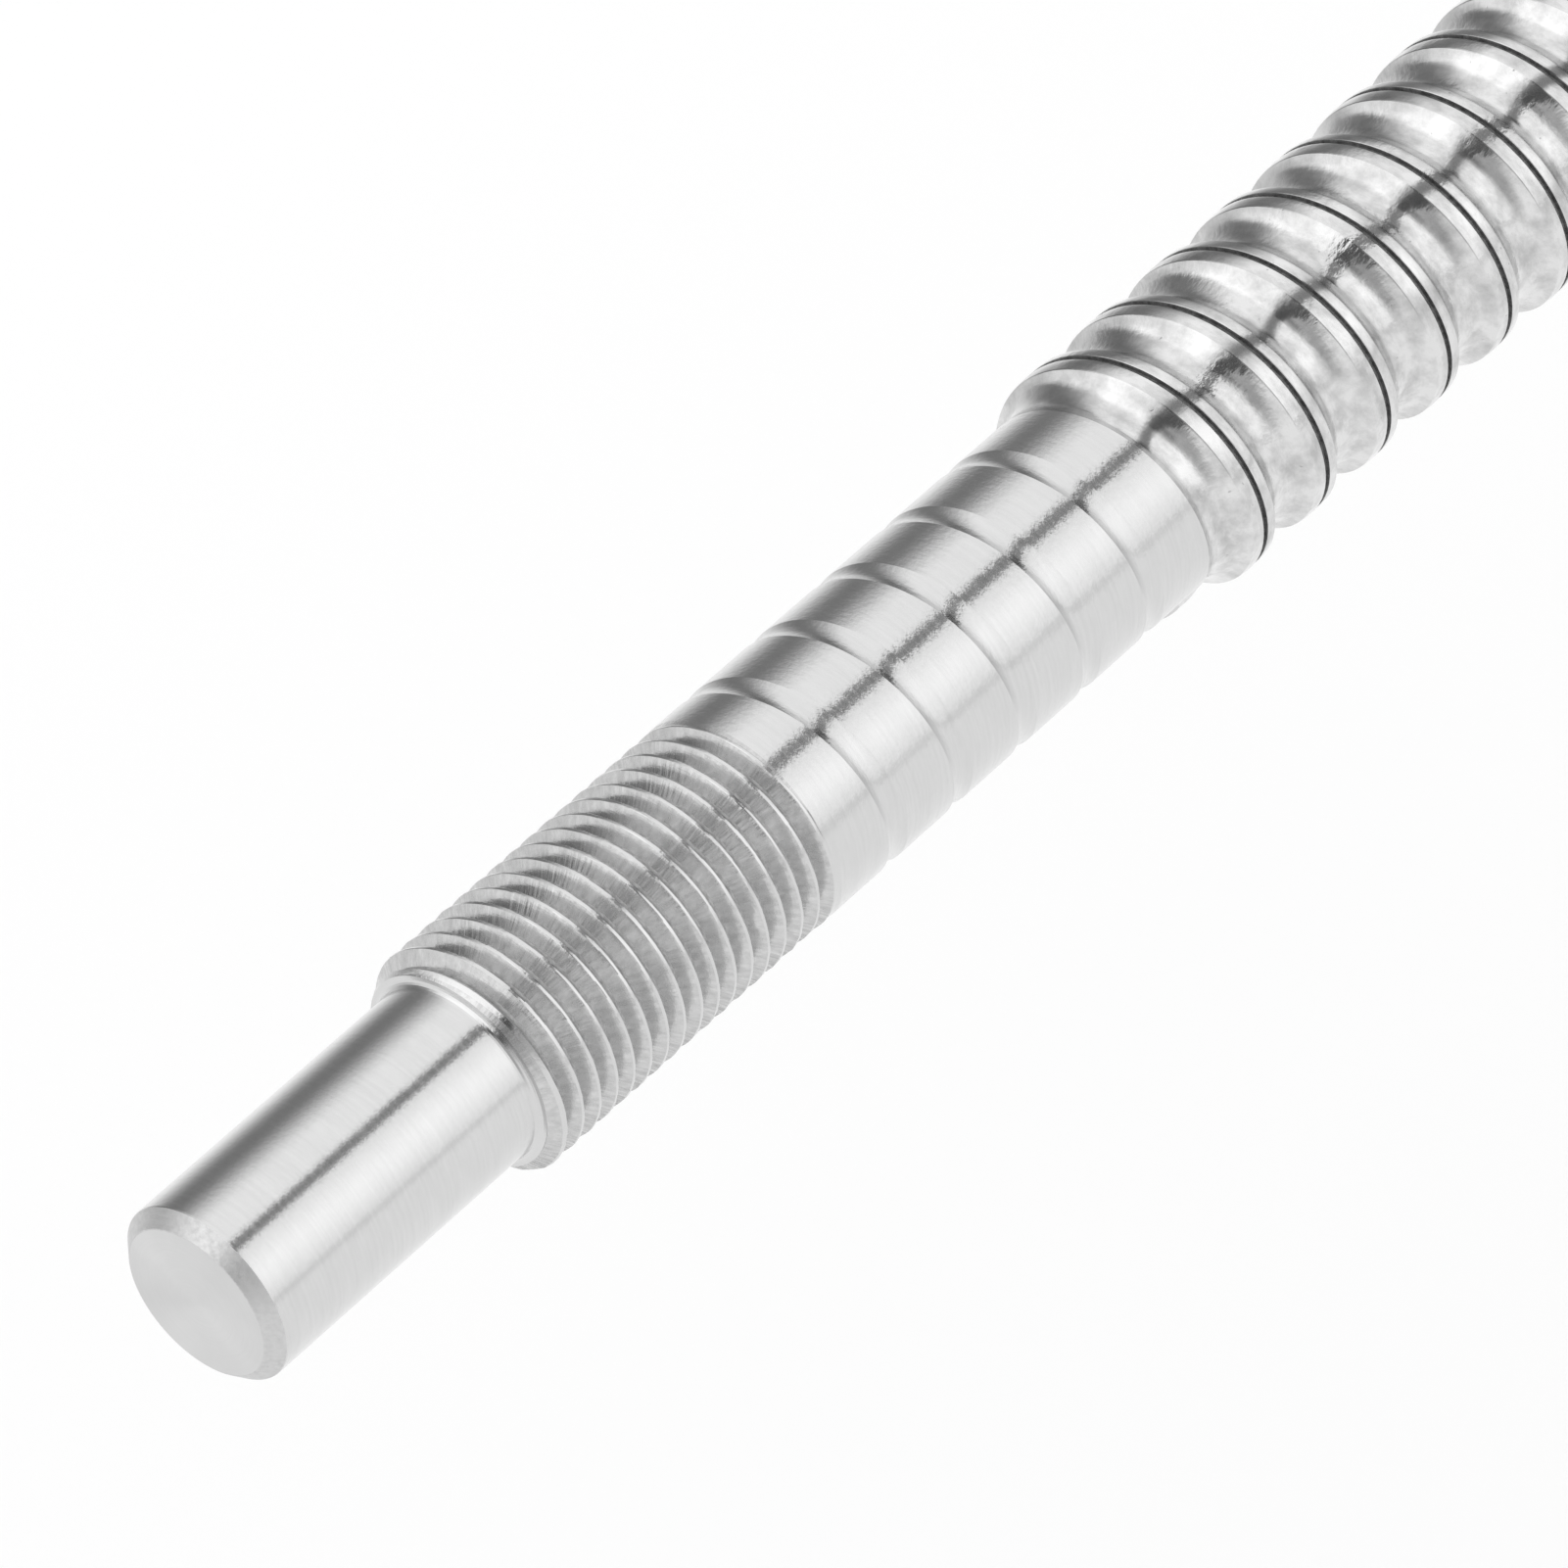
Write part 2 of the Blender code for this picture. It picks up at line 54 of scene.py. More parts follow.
MM = 0.001
TURN = 2 * math.pi
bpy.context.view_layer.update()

# Shaft, as in the CAD
SHAFT_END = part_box("screw_shaft")[1].x
SEAT_R, SEAT_END, SEAT_CHAMFER = 4.0 * MM, 15.0 * MM, 0.6 * MM
FINE_R, FINE_PITCH, FINE_END, FINE_DEPTH = 5.0 * MM, 1.0 * MM, 31.45 * MM, 0.61 * MM
FINE_CREST_AT_0 = -0.05 * MM
JOURNAL_R, JOURNAL_END = 5.0 * MM, 54.0 * MM
LEAD, CREST_R = 4.0 * MM, 5.8 * MM
GROOVE_ARC_R, GROOVE_CENTRE_R = 1.34 * MM, 6.21 * MM
GROOVE_AT_0 = 1.225 * MM
BALL_THREAD_END = 190.0 * MM
LAND_START_ANGLE = math.radians(215)
SUPPORT_R = 4.0 * MM
CLIP_GROOVE_R, CLIP_GROOVE_START, CLIP_GROOVE_W = 3.8 * MM, 7.9 * MM, 0.9 * MM
END_CHAMFER = 0.5 * MM

# Small shapes that only the fine shaft has
CHAMFER_EDGE = 0.05 * MM  # how far the chamfer's edges are worn round
SHOULDER_FILLET, SHOULDER_FACE_R, FINE_CHAMFER = 0.35 * MM, 4.45 * MM, 0.5 * MM
FINE_CREST_HALF_W, FINE_CREST_ROUND = 0.075 * MM, 0.012 * MM
FINE_ROOT_HALF_W, FINE_ROOT_ROUND = 0.07 * MM, 0.02 * MM
FINE_WEAR, UNDERSIDE_WEAR = 0.02 * MM, 3  # the second is times as much
LAND_ROUND, LAND_CROWN = 0.12 * MM, 0.03 * MM
SEAM_FROM_GROOVE, SEAM_HALF_W, SEAM_DEPTH, SEAM_LIP = 2.10 * MM, 0.13 * MM, 0.15 * MM, 0.03 * MM
SHAFT_STEPS = 80

# The land's thin start is worn down to a burr, and rises to its full height over this angle
BURR_HEIGHT, LAND_RAMP_ANGLE = 0.10 * MM, math.radians(40)

# Nut, as in the CAD
NUT_BODY_R, FLANGE_R, FLANGE_T, FLANGE_HALF_FLATS = 12.0 * MM, 20.0 * MM, 10.0 * MM, 15.0 * MM
BOLT_HOLE_R, BOLT_CIRCLE_R = 2.25 * MM, 16.0 * MM
BOLT_ANGLES = [math.radians(a) for a in (-45, 0, 45, 135, 180, 225)]
NUT_BORE_R, NUT_GROOVE_CENTRE_R, NUT_GROOVE_ARC_R = 6.2 * MM, 6.10 * MM, 1.45 * MM
NUT_CHAMFER = 0.5 * MM
SEAL_SEAT_R, SEAL_SEAT_DEPTH = 8.5 * MM, 4.6 * MM
RING_GROOVE_R, RING_GROOVE_START, RING_GROOVE_W = 9.0 * MM, 0.6 * MM, 1.1 * MM
PORT_FROM_MIDDLE, PORT_R, PORT_FLOOR_R, PASSAGE_R = 11.6 * MM, 2.6 * MM, 10.0 * MM, 1.0 * MM
WINDOW_R = 4.0 * MM

# Small parts, as in the CAD
BALL_R, BALL_CIRCLE_R = 1.1905 * MM, 6.125 * MM
DEFLECTOR_R, DEFLECTOR_INNER_R, DEFLECTOR_OUTER_R = 3.8 * MM, 6.35 * MM, 11.8 * MM
RETURN_HALF_ANGLE, RETURN_LIFT, RETURN_PATH_R = math.radians(32), 1.1 * MM, 1.42 * MM
RETURN_LIFT_SHARE, RETURN_SHIFT_START = 0.3, 0.2  # shares of the return path
RUN_IN = math.radians(16)
FIRST_DEFLECTOR_ANGLE, DEFLECTOR_STEP = math.radians(30), 4 / 3 * TURN
RING_INNER_R, RING_OUTER_R = 7.7 * MM, 8.8 * MM
WIPER_OUTER_R = 8.3 * MM
PLUG_R, PLUG_L, PLUG_SUNK = 2.4 * MM, 4.0 * MM, 0.3 * MM
PLUG_SOCKET_AF, PLUG_SOCKET_DEPTH = 2.5 * MM, 2.0 * MM

# Small shapes that only the fine nut and its parts have
EDGE_ROUND = 0.12 * MM
RELIEF_W, RELIEF_DEPTH = 1.4 * MM, 0.25 * MM  # the grinding relief between the body and the flange
HOLE_CHAMFER, WINDOW_CHAMFER, SEAL_SEAT_CHAMFER = 0.35 * MM, 0.2 * MM, 0.25 * MM
RACEWAY_BELOW_R = 8.2 * MM  # all that lies nearer the axis has the raceway's material
WIPER_GAP, WIPER_CHAMFER, WIPER_ROWS = 0.20 * MM, 0.25 * MM, 14
WIPER_SLOT_W, WIPER_SLOT_DEPTH, WIPER_SLOT_FROM_CREST = 0.8 * MM, 0.8 * MM, 1.0 * MM
RING_CHAMFER, RING_GAP_HALF = 0.08 * MM, math.radians(11)
LUG_HALF, LUG_BLEND, LUG_INNER_R = math.radians(17), math.radians(6), 6.5 * MM
LUG_HOLE_R, LUG_HOLE_FROM_EDGE, LUG_HOLE_CHAMFER = 0.4 * MM, 0.9 * MM, 0.05 * MM
PLUG_PITCH, PLUG_THREAD_DEPTH, PLUG_TIP_L, PLUG_TIP_DROP = 0.5 * MM, 0.28 * MM, 0.35 * MM, 0.1 * MM
PLUG_CREST_HALF_W, PLUG_ROOT_HALF_W, PLUG_THREAD_INSET = 0.03 * MM, 0.03 * MM, 0.02 * MM
PLUG_LEAD_IN, PLUG_SOCKET_CONE = 0.2 * MM, 0.5 * MM
DIMPLE_R, DIMPLE_DEPTH, STAKED_LEDGE_W = 0.9 * MM, 0.35 * MM, 0.45 * MM
PAST = 1.0 * MM  # how far a cutting shape stands out of what it cuts
NUT_STEPS, HOLE_STEPS, WINDOW_STEPS, PEG_STEPS, RING_STEPS = 128, 40, 60, 64, 96

# Camera
CAMERA_AT = Vector((-204.98, -198.81, 334.60)) * MM
CAMERA_RIGHT = Vector((0.63900, -0.76920, 0.0))
CAMERA_AHEAD = Vector((0.52384, 0.43517, -0.73227))
CAMERA_CLIP = (0.01, 50.0)
SENSOR_WIDTH = 36.0  # mm
FOCAL_LENGTH = SENSOR_WIDTH * 7.495315  # a long lens
FLOOR_HALF_SIZE, FLOOR_Z = 20.0, -0.12


# ---------------------------------------------------------------- mesh helpers

def new_object(name, mesh, materials):
    obj = bpy.data.objects.new(name, mesh)
    bpy.context.scene.collection.objects.link(obj)
    for m in materials:
        mesh.materials.append(m)
    return obj


def finished_mesh(name, bm, sharp_above=35):
    bmesh.ops.recalc_face_normals(bm, faces=bm.faces)
    mesh = bpy.data.meshes.new(name)
    bm.to_mesh(mesh)
    bm.free()
    mesh.shade_smooth()
    mesh.set_sharp_from_angle(angle=math.radians(sharp_above))
    return mesh


def skin(name, column_at, steps, closed_profile=False, sharp_above=14):
    """A mesh around the X axis. column_at(angle) gives the same number of (x, r, slot) rows each time."""
    bm = bmesh.new()
    columns, slots = [], []
    for i in range(steps):
        angle = TURN * i / steps
        c, s = math.cos(angle), math.sin(angle)
        rows = column_at(angle)
        columns.append([bm.verts.new((x, r * c, r * s)) for x, r, _ in rows])
        slots.append([slot for _, _, slot in rows])
    # The last column meets the first one turn on, where a helical row has moved along by one pitch
    columns.append([bm.verts.new((x, r, 0.0)) for x, r, _ in column_at(TURN)])
    count = len(columns[0])
    for here, there, slot_of in zip(columns, columns[1:], slots):
        for k in range(count if closed_profile else count - 1):
            n = (k + 1) % count
            face = bm.faces.new((here[k], here[n], there[n], there[k]))
            face.material_index = slot_of[k]
    bmesh.ops.remove_doubles(bm, verts=bm.verts, dist=2e-7)
    return finished_mesh(name, bm, sharp_above)


def arc(cx, cr, radius, a0, a1, segments):
    """(x, r) points of an arc, from angle a0 to a1 in degrees."""
    points = []
    for i in range(segments + 1):
        a = math.radians(a0 + (a1 - a0) * i / segments)
        points.append((cx + radius * math.cos(a), cr + radius * math.sin(a)))
    return points


def rounded(profile, radius=EDGE_ROUND, segments=3):
    """A closed (x, r) profile with its corners rounded off."""
    points = []
    count = len(profile)
    for k in range(count):
        before, corner, after = (Vector((*profile[(k + j) % count], 0.0)) for j in (-1, 0, 1))
        ends = []
        for neighbour in (before, after):
            away = neighbour - corner
            ends.append(corner + away.normalized() * min(radius, 0.4 * away.length))
        for i in range(segments + 1):
            share = i / segments
            p = (1 - share) ** 2 * ends[0] + 2 * share * (1 - share) * corner + share ** 2 * ends[1]
            points.append((p.x, p.y))
    return points


def lathe(name, profile, steps, closed_profile=False):
    """A round body about the X axis. An open profile starts and ends on the axis."""
    return skin(name, lambda angle: [(x, r, 0) for x, r in profile], steps, closed_profile, 32)


def prism(name, outline, y0, y1):
    """A solid with the (x, z) outline, from y0 to y1."""
    bm = bmesh.new()
    near = [bm.verts.new((x, y0, z)) for x, z in outline]
    far = [bm.verts.new((x, y1, z)) for x, z in outline]
    bm.faces.new(near)
    bm.faces.new(far)
    for k in range(len(outline)):
        n = (k + 1) % len(outline)
        bm.faces.new((near[k], near[n], far[n], far[k]))
    return finished_mesh(name, bm)


def radially(mesh, angle, x):
    """Turns a mesh made along +X to stand on the axis at an angle, at x."""
    upright = Matrix.Rotation(TURN / 4, 4, "Z")
    mesh.transform(Matrix.Translation((x, 0.0, 0.0)) @ Matrix.Rotation(angle, 4, "X") @ upright)
    return mesh


def beside(mesh, y, z):
    mesh.transform(Matrix.Translation((0.0, y, z)))
    return mesh


def carved(name, mesh, cuts, sharp_above=30, winding=False):
    """The mesh after each (operation, other mesh) in turn. Winding cutters run through themselves."""
    body = new_object(name, mesh, [])
    helpers = []
    for operation, other in cuts:
        helper = new_object("helper", other, [])
        helpers.append(helper)
        modifier = body.modifiers.new("cut", "BOOLEAN")
        modifier.operation, modifier.solver, modifier.object = operation, "EXACT", helper
        modifier.use_self = winding
    depsgraph = bpy.context.evaluated_depsgraph_get()
    made = bpy.data.meshes.new_from_object(body.evaluated_get(depsgraph))
    for obj in [body] + helpers:
        bpy.data.objects.remove(obj, do_unlink=True)
    bm = bmesh.new()
    bm.from_mesh(made)
    return finished_mesh(name, bm, sharp_above)


def hand_in(obj, node, body):
    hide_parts(node)
    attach(obj, body)


# ---------------------------------------------------------------- shaft

FACE, CHAMFER, SEAT, FINE, FINE_ROOT, JOURNAL, BALL, SEAM = range(8)


def radius_at(corners, pitch, offset):
    """(radius, slot) of a thread at an offset along one pitch. Corners are (offset, r, slot)."""
    first = corners[0][0]
    offset = (offset - first) % pitch + first
    looped = corners + [(first + pitch, corners[0][1], corners[0][2])]
    for (x0, r0, slot), (x1, r1, _) in zip(looped, looped[1:]):
        if x0 <= offset <= x1:
            share = (offset - x0) / (x1 - x0) if x1 > x0 else 0.0
            return r0 + (r1 - r0) * share, slot
    return corners[0][1], corners[0][2]


def thread_rows(corners, pitch, at_0, start, end, angle):
    """One column of a right-hand thread between two planes. Corners past a plane are held on it."""
    shift = at_0 + pitch * angle / TURN
    first = math.floor((start - at_0) / pitch) - 3
    last = math.ceil((end - at_0) / pitch) + 2
    rows = []
    for turn in range(first, last):
        for offset, r, slot in corners:
            x = shift + pitch * turn + offset
            if start < x < end:
                rows.append((x, r, slot))
            else:
                x = min(max(x, start), end)
                rows.append((x, *radius_at(corners, pitch, x - shift)))
    return rows


def ball_thread_corners():
    """Round groove, broken edges, and a slightly crowned land with the rolling seam near its middle."""
    edge_r = CREST_R - LAND_CROWN
    reach = GROOVE_ARC_R + LAND_ROUND
    rise = GROOVE_CENTRE_R - edge_r + LAND_ROUND
    round_x = math.sqrt(reach ** 2 - rise ** 2)
    half = math.degrees(math.asin(round_x / reach))
    groove = arc(0.0, GROOVE_CENTRE_R, GROOVE_ARC_R, -90 - half, -90 + half, 10)
    broken = arc(round_x, edge_r - LAND_ROUND, LAND_ROUND, 90 + half, 90, 3)[1:]
    middle = LEAD / 2
    crown_half = middle - round_x

    def land(x):
        return (x, edge_r + LAND_CROWN * (1 - ((x - middle) / crown_half) ** 2), BALL)

    seam, w = SEAM_FROM_GROOVE, SEAM_HALF_W
    lip_r = CREST_R - SEAM_LIP
    bevel_r, floor_r = CREST_R - 0.4 * SEAM_LIP, lip_r - SEAM_DEPTH
    rows = [(x, r, BALL) for x, r in groove + broken]
    rows += [
        land(middle - 0.5 * crown_half), land(seam - 2.0 * w), (seam - 1.25 * w, bevel_r, BALL),
        (seam - w, lip_r, SEAM), (seam - 0.75 * w, floor_r, SEAM), (seam + 0.75 * w, floor_r, SEAM),
        (seam + w, lip_r, BALL), (seam + 1.25 * w, bevel_r, BALL), land(seam + 2.0 * w),
    ]
    return rows + [(LEAD - x, r, BALL) for x, r in reversed(broken)]


def held_below(corners, pitch, most_r, slot):
    """Thread corners with all that stands above most_r turned away."""
    looped = corners + [(corners[0][0] + pitch, corners[0][1], corners[0][2])]
    kept = []
    for (x0, r0, _), (x1, r1, _) in zip(looped, looped[1:]):
        if r0 <= most_r:
            kept.append((x0, r0, slot))
        if (r0 - most_r) * (r1 - most_r) < 0:
            share = (most_r - r0) / (r1 - r0)
            kept.append((x0 + (x1 - x0) * share, most_r, slot))
    return kept


def fine_thread_corners():
    """Crest flat left from turning, 60 degree flanks and a narrow root."""
    crest, edge_r = FINE_CREST_HALF_W, FINE_R - FINE_CREST_ROUND
    root, root_r = FINE_PITCH / 2, FINE_R - FINE_DEPTH
    return [
        (-crest, edge_r, JOURNAL), (-0.6 * crest, FINE_R, JOURNAL), (0.6 * crest, FINE_R, JOURNAL),
        (crest, edge_r, FINE), (root - FINE_ROOT_HALF_W, root_r + FINE_ROOT_ROUND, FINE_ROOT),
        (root, root_r, FINE_ROOT), (root + FINE_ROOT_HALF_W, root_r + FINE_ROOT_ROUND, FINE),
    ]


def groove_before_land(angle):
    """x of the groove centre before the first land, which starts at LAND_START_ANGLE."""
    angle = (angle - LAND_START_ANGLE) % TURN + LAND_START_ANGLE - TURN
    return GROOVE_AT_0 + LEAD * math.floor(JOURNAL_END / LEAD) + LEAD * angle / TURN


def land_start(journal, angle):
    """x where the journal ends. What it leaves of a land too thin to stand is broken off."""
    groove_edge = min(x for x, _, _ in journal)
    return max(JOURNAL_END, groove_before_land(angle) + groove_edge)


def land_height(angle):
    """The radius that the first land reaches at an angle, rising from a burr to the crest."""
    share = min((angle - LAND_START_ANGLE) % TURN / LAND_RAMP_ANGLE, 1.0)
    low = JOURNAL_R + BURR_HEIGHT
    return low + (CREST_R - low) * share


def fixed_end_rows():
    """The end face, the coupling seat with its chamfer, and the fillet at its shoulder."""
    face_r, edge = SEAT_R - SEAT_CHAMFER, CHAMFER_EDGE
    fillet = arc(SEAT_END - SHOULDER_FILLET, SEAT_R + SHOULDER_FILLET, SHOULDER_FILLET, -90, 0, 6)
    return [
        (0.0, 0.0, FACE), (0.0, 0.25 * face_r, FACE), (0.0, 0.6 * face_r, FACE),
        (0.0, face_r - edge, CHAMFER), (0.3 * edge, face_r, CHAMFER),
        (SEAT_CHAMFER - edge, SEAT_R - 1.2 * edge, CHAMFER),
        (SEAT_CHAMFER - 0.2 * edge, SEAT_R - 0.4 * edge, SEAT), (SEAT_CHAMFER + edge, SEAT_R, SEAT),
        (SEAT_END / 2, SEAT_R, SEAT),
    ] + [(x, r, SEAT) for x, r in fillet]


def floating_end_rows():
    """The far seat with its circlip groove."""
    clip_x = BALL_THREAD_END + CLIP_GROOVE_START
    return [
        (BALL_THREAD_END, SUPPORT_R, SEAT),
        (clip_x, SUPPORT_R, SEAT),
        (clip_x, CLIP_GROOVE_R, SEAT),
        (clip_x + CLIP_GROOVE_W, CLIP_GROOVE_R, SEAT),
        (clip_x + CLIP_GROOVE_W, SUPPORT_R, SEAT),
        (SHAFT_END - END_CHAMFER, SUPPORT_R, CHAMFER),
        (SHAFT_END, SUPPORT_R - END_CHAMFER, FACE),
        (SHAFT_END, 0.0, FACE),
    ]


def build_shaft(materials):
    ball = ball_thread_corners()
    journal = held_below(ball, LEAD, JOURNAL_R, JOURNAL)
    fine = fine_thread_corners()
    cone_slope = (FINE_R - SHOULDER_FACE_R) / FINE_CHAMFER
    flank_slope = math.tan(TURN / 12)

    def column(angle):
        worn = random.Random(round(math.degrees(angle) % 360))
        most_wear = FINE_WEAR * (1 + (UNDERSIDE_WEAR - 1) * max(0.0, -math.sin(angle)))
        rows = fixed_end_rows()
        journal_end = land_start(journal, angle)
        for x, r, slot in thread_rows(fine, FINE_PITCH, FINE_CREST_AT_0, SEAT_END, FINE_END, angle):
            cone = SHOULDER_FACE_R + (x - SEAT_END) * cone_slope
            run_out = FINE_R - (FINE_END - x) / flank_slope
            wear = worn.uniform(0.0, most_wear) if x > SEAT_END else 0.0
            rows.append((x, max(min(r, cone) - wear, run_out), slot))
        rows += thread_rows(journal, LEAD, GROOVE_AT_0, FINE_END, journal_end, angle)
        first_land_end = groove_before_land(angle) + LEAD
        for x, r, slot in thread_rows(ball, LEAD, GROOVE_AT_0, journal_end, BALL_THREAD_END, angle):
            r = min(r, land_height(angle)) if x < first_land_end else r
            rows.append((x, r, slot if x < BALL_THREAD_END else SEAT))
        return rows + floating_end_rows()

    shaft = new_object("fine_shaft", skin("fine_shaft", column, SHAFT_STEPS), materials)
    hand_in(shaft, "screw_shaft", "shaft")


# ---------------------------------------------------------------- nut

FACED, MILLED, GROUND, RACEWAY = range(4)


def nut_outline(x0, x1):
    """(x, r) of the nut's outside and its two seal seats, with the flange at the far end."""
    c = NUT_CHAMFER
    flange_x = x1 - FLANGE_T
    core_r = NUT_BORE_R - PAST
    relief_x, relief_r = flange_x - RELIEF_W, NUT_BODY_R - RELIEF_DEPTH
    seats = [(x0 + SEAL_SEAT_DEPTH, core_r), (x1 - SEAL_SEAT_DEPTH, core_r)]
    outside = [
        (x1, FLANGE_R - c), (x1 - c, FLANGE_R), (flange_x + c, FLANGE_R), (flange_x, FLANGE_R - c),
        (flange_x, relief_r), (relief_x + RELIEF_DEPTH, relief_r), (relief_x, NUT_BODY_R),
        (x0 + 2 * c, NUT_BODY_R), (x0, NUT_BODY_R - c),
    ]
    return seal_seat(x0, 1) + seats + list(reversed(seal_seat(x1, -1))) + outside


def seal_seat(face_x, inwards):
    """(x, r) points from the nut's end face down its seal seat, with the retaining ring's groove."""
    ring_x = face_x + inwards * RING_GROOVE_START
    return [
        (face_x, SEAL_SEAT_R + SEAL_SEAT_CHAMFER),
        (face_x + inwards * SEAL_SEAT_CHAMFER, SEAL_SEAT_R),
        (ring_x, SEAL_SEAT_R),
        (ring_x, RING_GROOVE_R),
        (ring_x + inwards * RING_GROOVE_W, RING_GROOVE_R),
        (ring_x + inwards * RING_GROOVE_W, SEAL_SEAT_R),
        (face_x + inwards * SEAL_SEAT_DEPTH, SEAL_SEAT_R),
    ]


def hole(name, radius, x0, x1, chamfer, steps=HOLE_STEPS):
    """A through hole's shape along X: countersunk at x0 and x1, standing out past both."""
    wide = radius + chamfer
    profile = [
        (x0 - PAST, 0.0), (x0 - PAST, wide), (x0, wide), (x0 + chamfer, radius),
        (x1 - chamfer, radius), (x1, wide), (x1 + PAST, wide), (x1 + PAST, 0.0),
    ]
    return lathe(name, profile, steps)


def rod(name, radius, x0, x1, steps):
    """A round cutting shape along X."""
    return lathe(name, [(x0, 0.0), (x0, radius), (x1, radius), (x1, 0.0)], steps)


def blind_hole(name, radius, floor, top, chamfer, steps=HOLE_STEPS):
    """A drilled hole's shape along X, from a coned floor to a countersunk top."""
    profile = [
        (floor - 0.5 * radius, 0.0), (floor, radius), (top - chamfer, radius), (top, radius + chamfer),
        (top + PAST, radius + chamfer), (top + PAST, 0.0),
    ]
    return lathe(name, profile, steps)


def nut_thread_core(x0, x1):
    """The bore with its ball groove, as a solid to take away."""
    half = math.degrees(math.acos((NUT_BORE_R - NUT_GROOVE_CENTRE_R) / NUT_GROOVE_ARC_R))
    groove = arc(0.0, NUT_GROOVE_CENTRE_R, NUT_GROOVE_ARC_R, 90 + half, 90 - half, 12)
    corners = [(x, r, 0) for x, r in groove]

    def column(angle):
        rows = thread_rows(corners, LEAD, GROOVE_AT_0, x0, x1, angle)
        return [(x0, 0.0, 0)] + rows + [(x1, 0.0, 0)]

    return skin("nut_thread_core", column, NUT_STEPS)


def deflector_at(circuit):
    """(x, angle) where a circuit's groove line begins."""
    angle = FIRST_DEFLECTOR_ANGLE + circuit * DEFLECTOR_STEP
    low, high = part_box(f"deflector_{circuit + 1}")
    on_groove = GROOVE_AT_0 + LEAD * angle / TURN
    leads = round(((low.x + high.x) / 2 - LEAD / 2 - on_groove) / LEAD)
    return on_groove + leads * LEAD, angle


def build_nut(materials):
    low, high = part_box("nut_body")
    x0, x1 = low.x, high.x
    flange_x, flat, c = x1 - FLANGE_T, FLANGE_HALF_FLATS, NUT_CHAMFER
    side = [
        (x0 - PAST, flat - c), (flange_x, flat - c), (flange_x + c, flat), (x1 - c, flat),
        (x1, flat - c), (x1 + PAST, flat - c),
    ]
    outline = side + [(x, -z) for x, z in reversed(side)]
    cuts = [("INTERSECT", prism("between_flats", outline, -2 * FLANGE_R, 2 * FLANGE_R))]
    for a in BOLT_ANGLES:
        bolt = hole("bolt_hole", BOLT_HOLE_R, flange_x, x1, HOLE_CHAMFER)
        cuts.append(("DIFFERENCE", beside(bolt, BOLT_CIRCLE_R * math.cos(a), BOLT_CIRCLE_R * math.sin(a))))
    port_x = (x0 + x1) / 2 + PORT_FROM_MIDDLE
    port = blind_hole("port", PORT_R, PORT_FLOOR_R, flat, HOLE_CHAMFER)
    cuts.append(("DIFFERENCE", radially(port, TURN / 4, port_x)))
    passage = hole("passage", PASSAGE_R, NUT_BORE_R - PAST, PORT_FLOOR_R, 0.0, 20)
    cuts.append(("DIFFERENCE", radially(passage, TURN / 4, port_x)))
    for circuit in range(3):
        x, angle = deflector_at(circuit)
        window = blind_hole("window", WINDOW_R, NUT_BORE_R - PAST, NUT_BODY_R, WINDOW_CHAMFER, WINDOW_STEPS)
        cuts.append(("DIFFERENCE", radially(window, angle, x + LEAD / 2)))
    cuts.append(("DIFFERENCE", nut_thread_core(x0 + SEAL_SEAT_DEPTH / 2, x1 - SEAL_SEAT_DEPTH / 2)))
    outside = lathe("nut", rounded(nut_outline(x0, x1)), NUT_STEPS, closed_profile=True)
    mesh = carved("fine_nut", outside, cuts)
    for polygon in mesh.polygons:
        r = math.hypot(polygon.center.y, polygon.center.z)
        if abs(polygon.normal.x) > 0.9:
            polygon.material_index = FACED
        elif r > FLANGE_HALF_FLATS - NUT_CHAMFER and abs(polygon.normal.z) > 0.995:
            polygon.material_index = MILLED
        else:
            polygon.material_index = RACEWAY if r < RACEWAY_BELOW_R else GROUND
    nut = new_object("fine_nut", mesh, materials)
    hand_in(nut, "nut_body", "nut")


# ---------------------------------------------------------------- the nut's small parts

def about_axis(x, r, angle):
    return Vector((x, r * math.cos(angle), r * math.sin(angle)))


def loaded_point(circuit, beyond):
    """A ball centre on the loaded helix, at an angle beyond the deflector."""
    x, angle = deflector_at(circuit)
    return about_axis(x + LEAD * beyond / TURN, BALL_CIRCLE_R, angle + beyond)


def eased(share):
    share = min(max(share, 0.0), 1.0)
    return share * share * (3 - 2 * share)


def return_point(circuit, share):
    """A ball centre in the deflector: over the land from the end of the turn back to its start."""
    x, angle = deflector_at(circuit)
    beyond = RETURN_HALF_ANGLE * (2 * share - 1)
    lift = RETURN_LIFT * eased(min(share, 1 - share) / RETURN_LIFT_SHARE)
    shifted = eased((share - RETURN_SHIFT_START) / (1 - 2 * RETURN_SHIFT_START))
    along = x + LEAD * (1 - shifted) + LEAD * beyond / TURN
    return about_axis(along, BALL_CIRCLE_R + lift, angle + beyond)


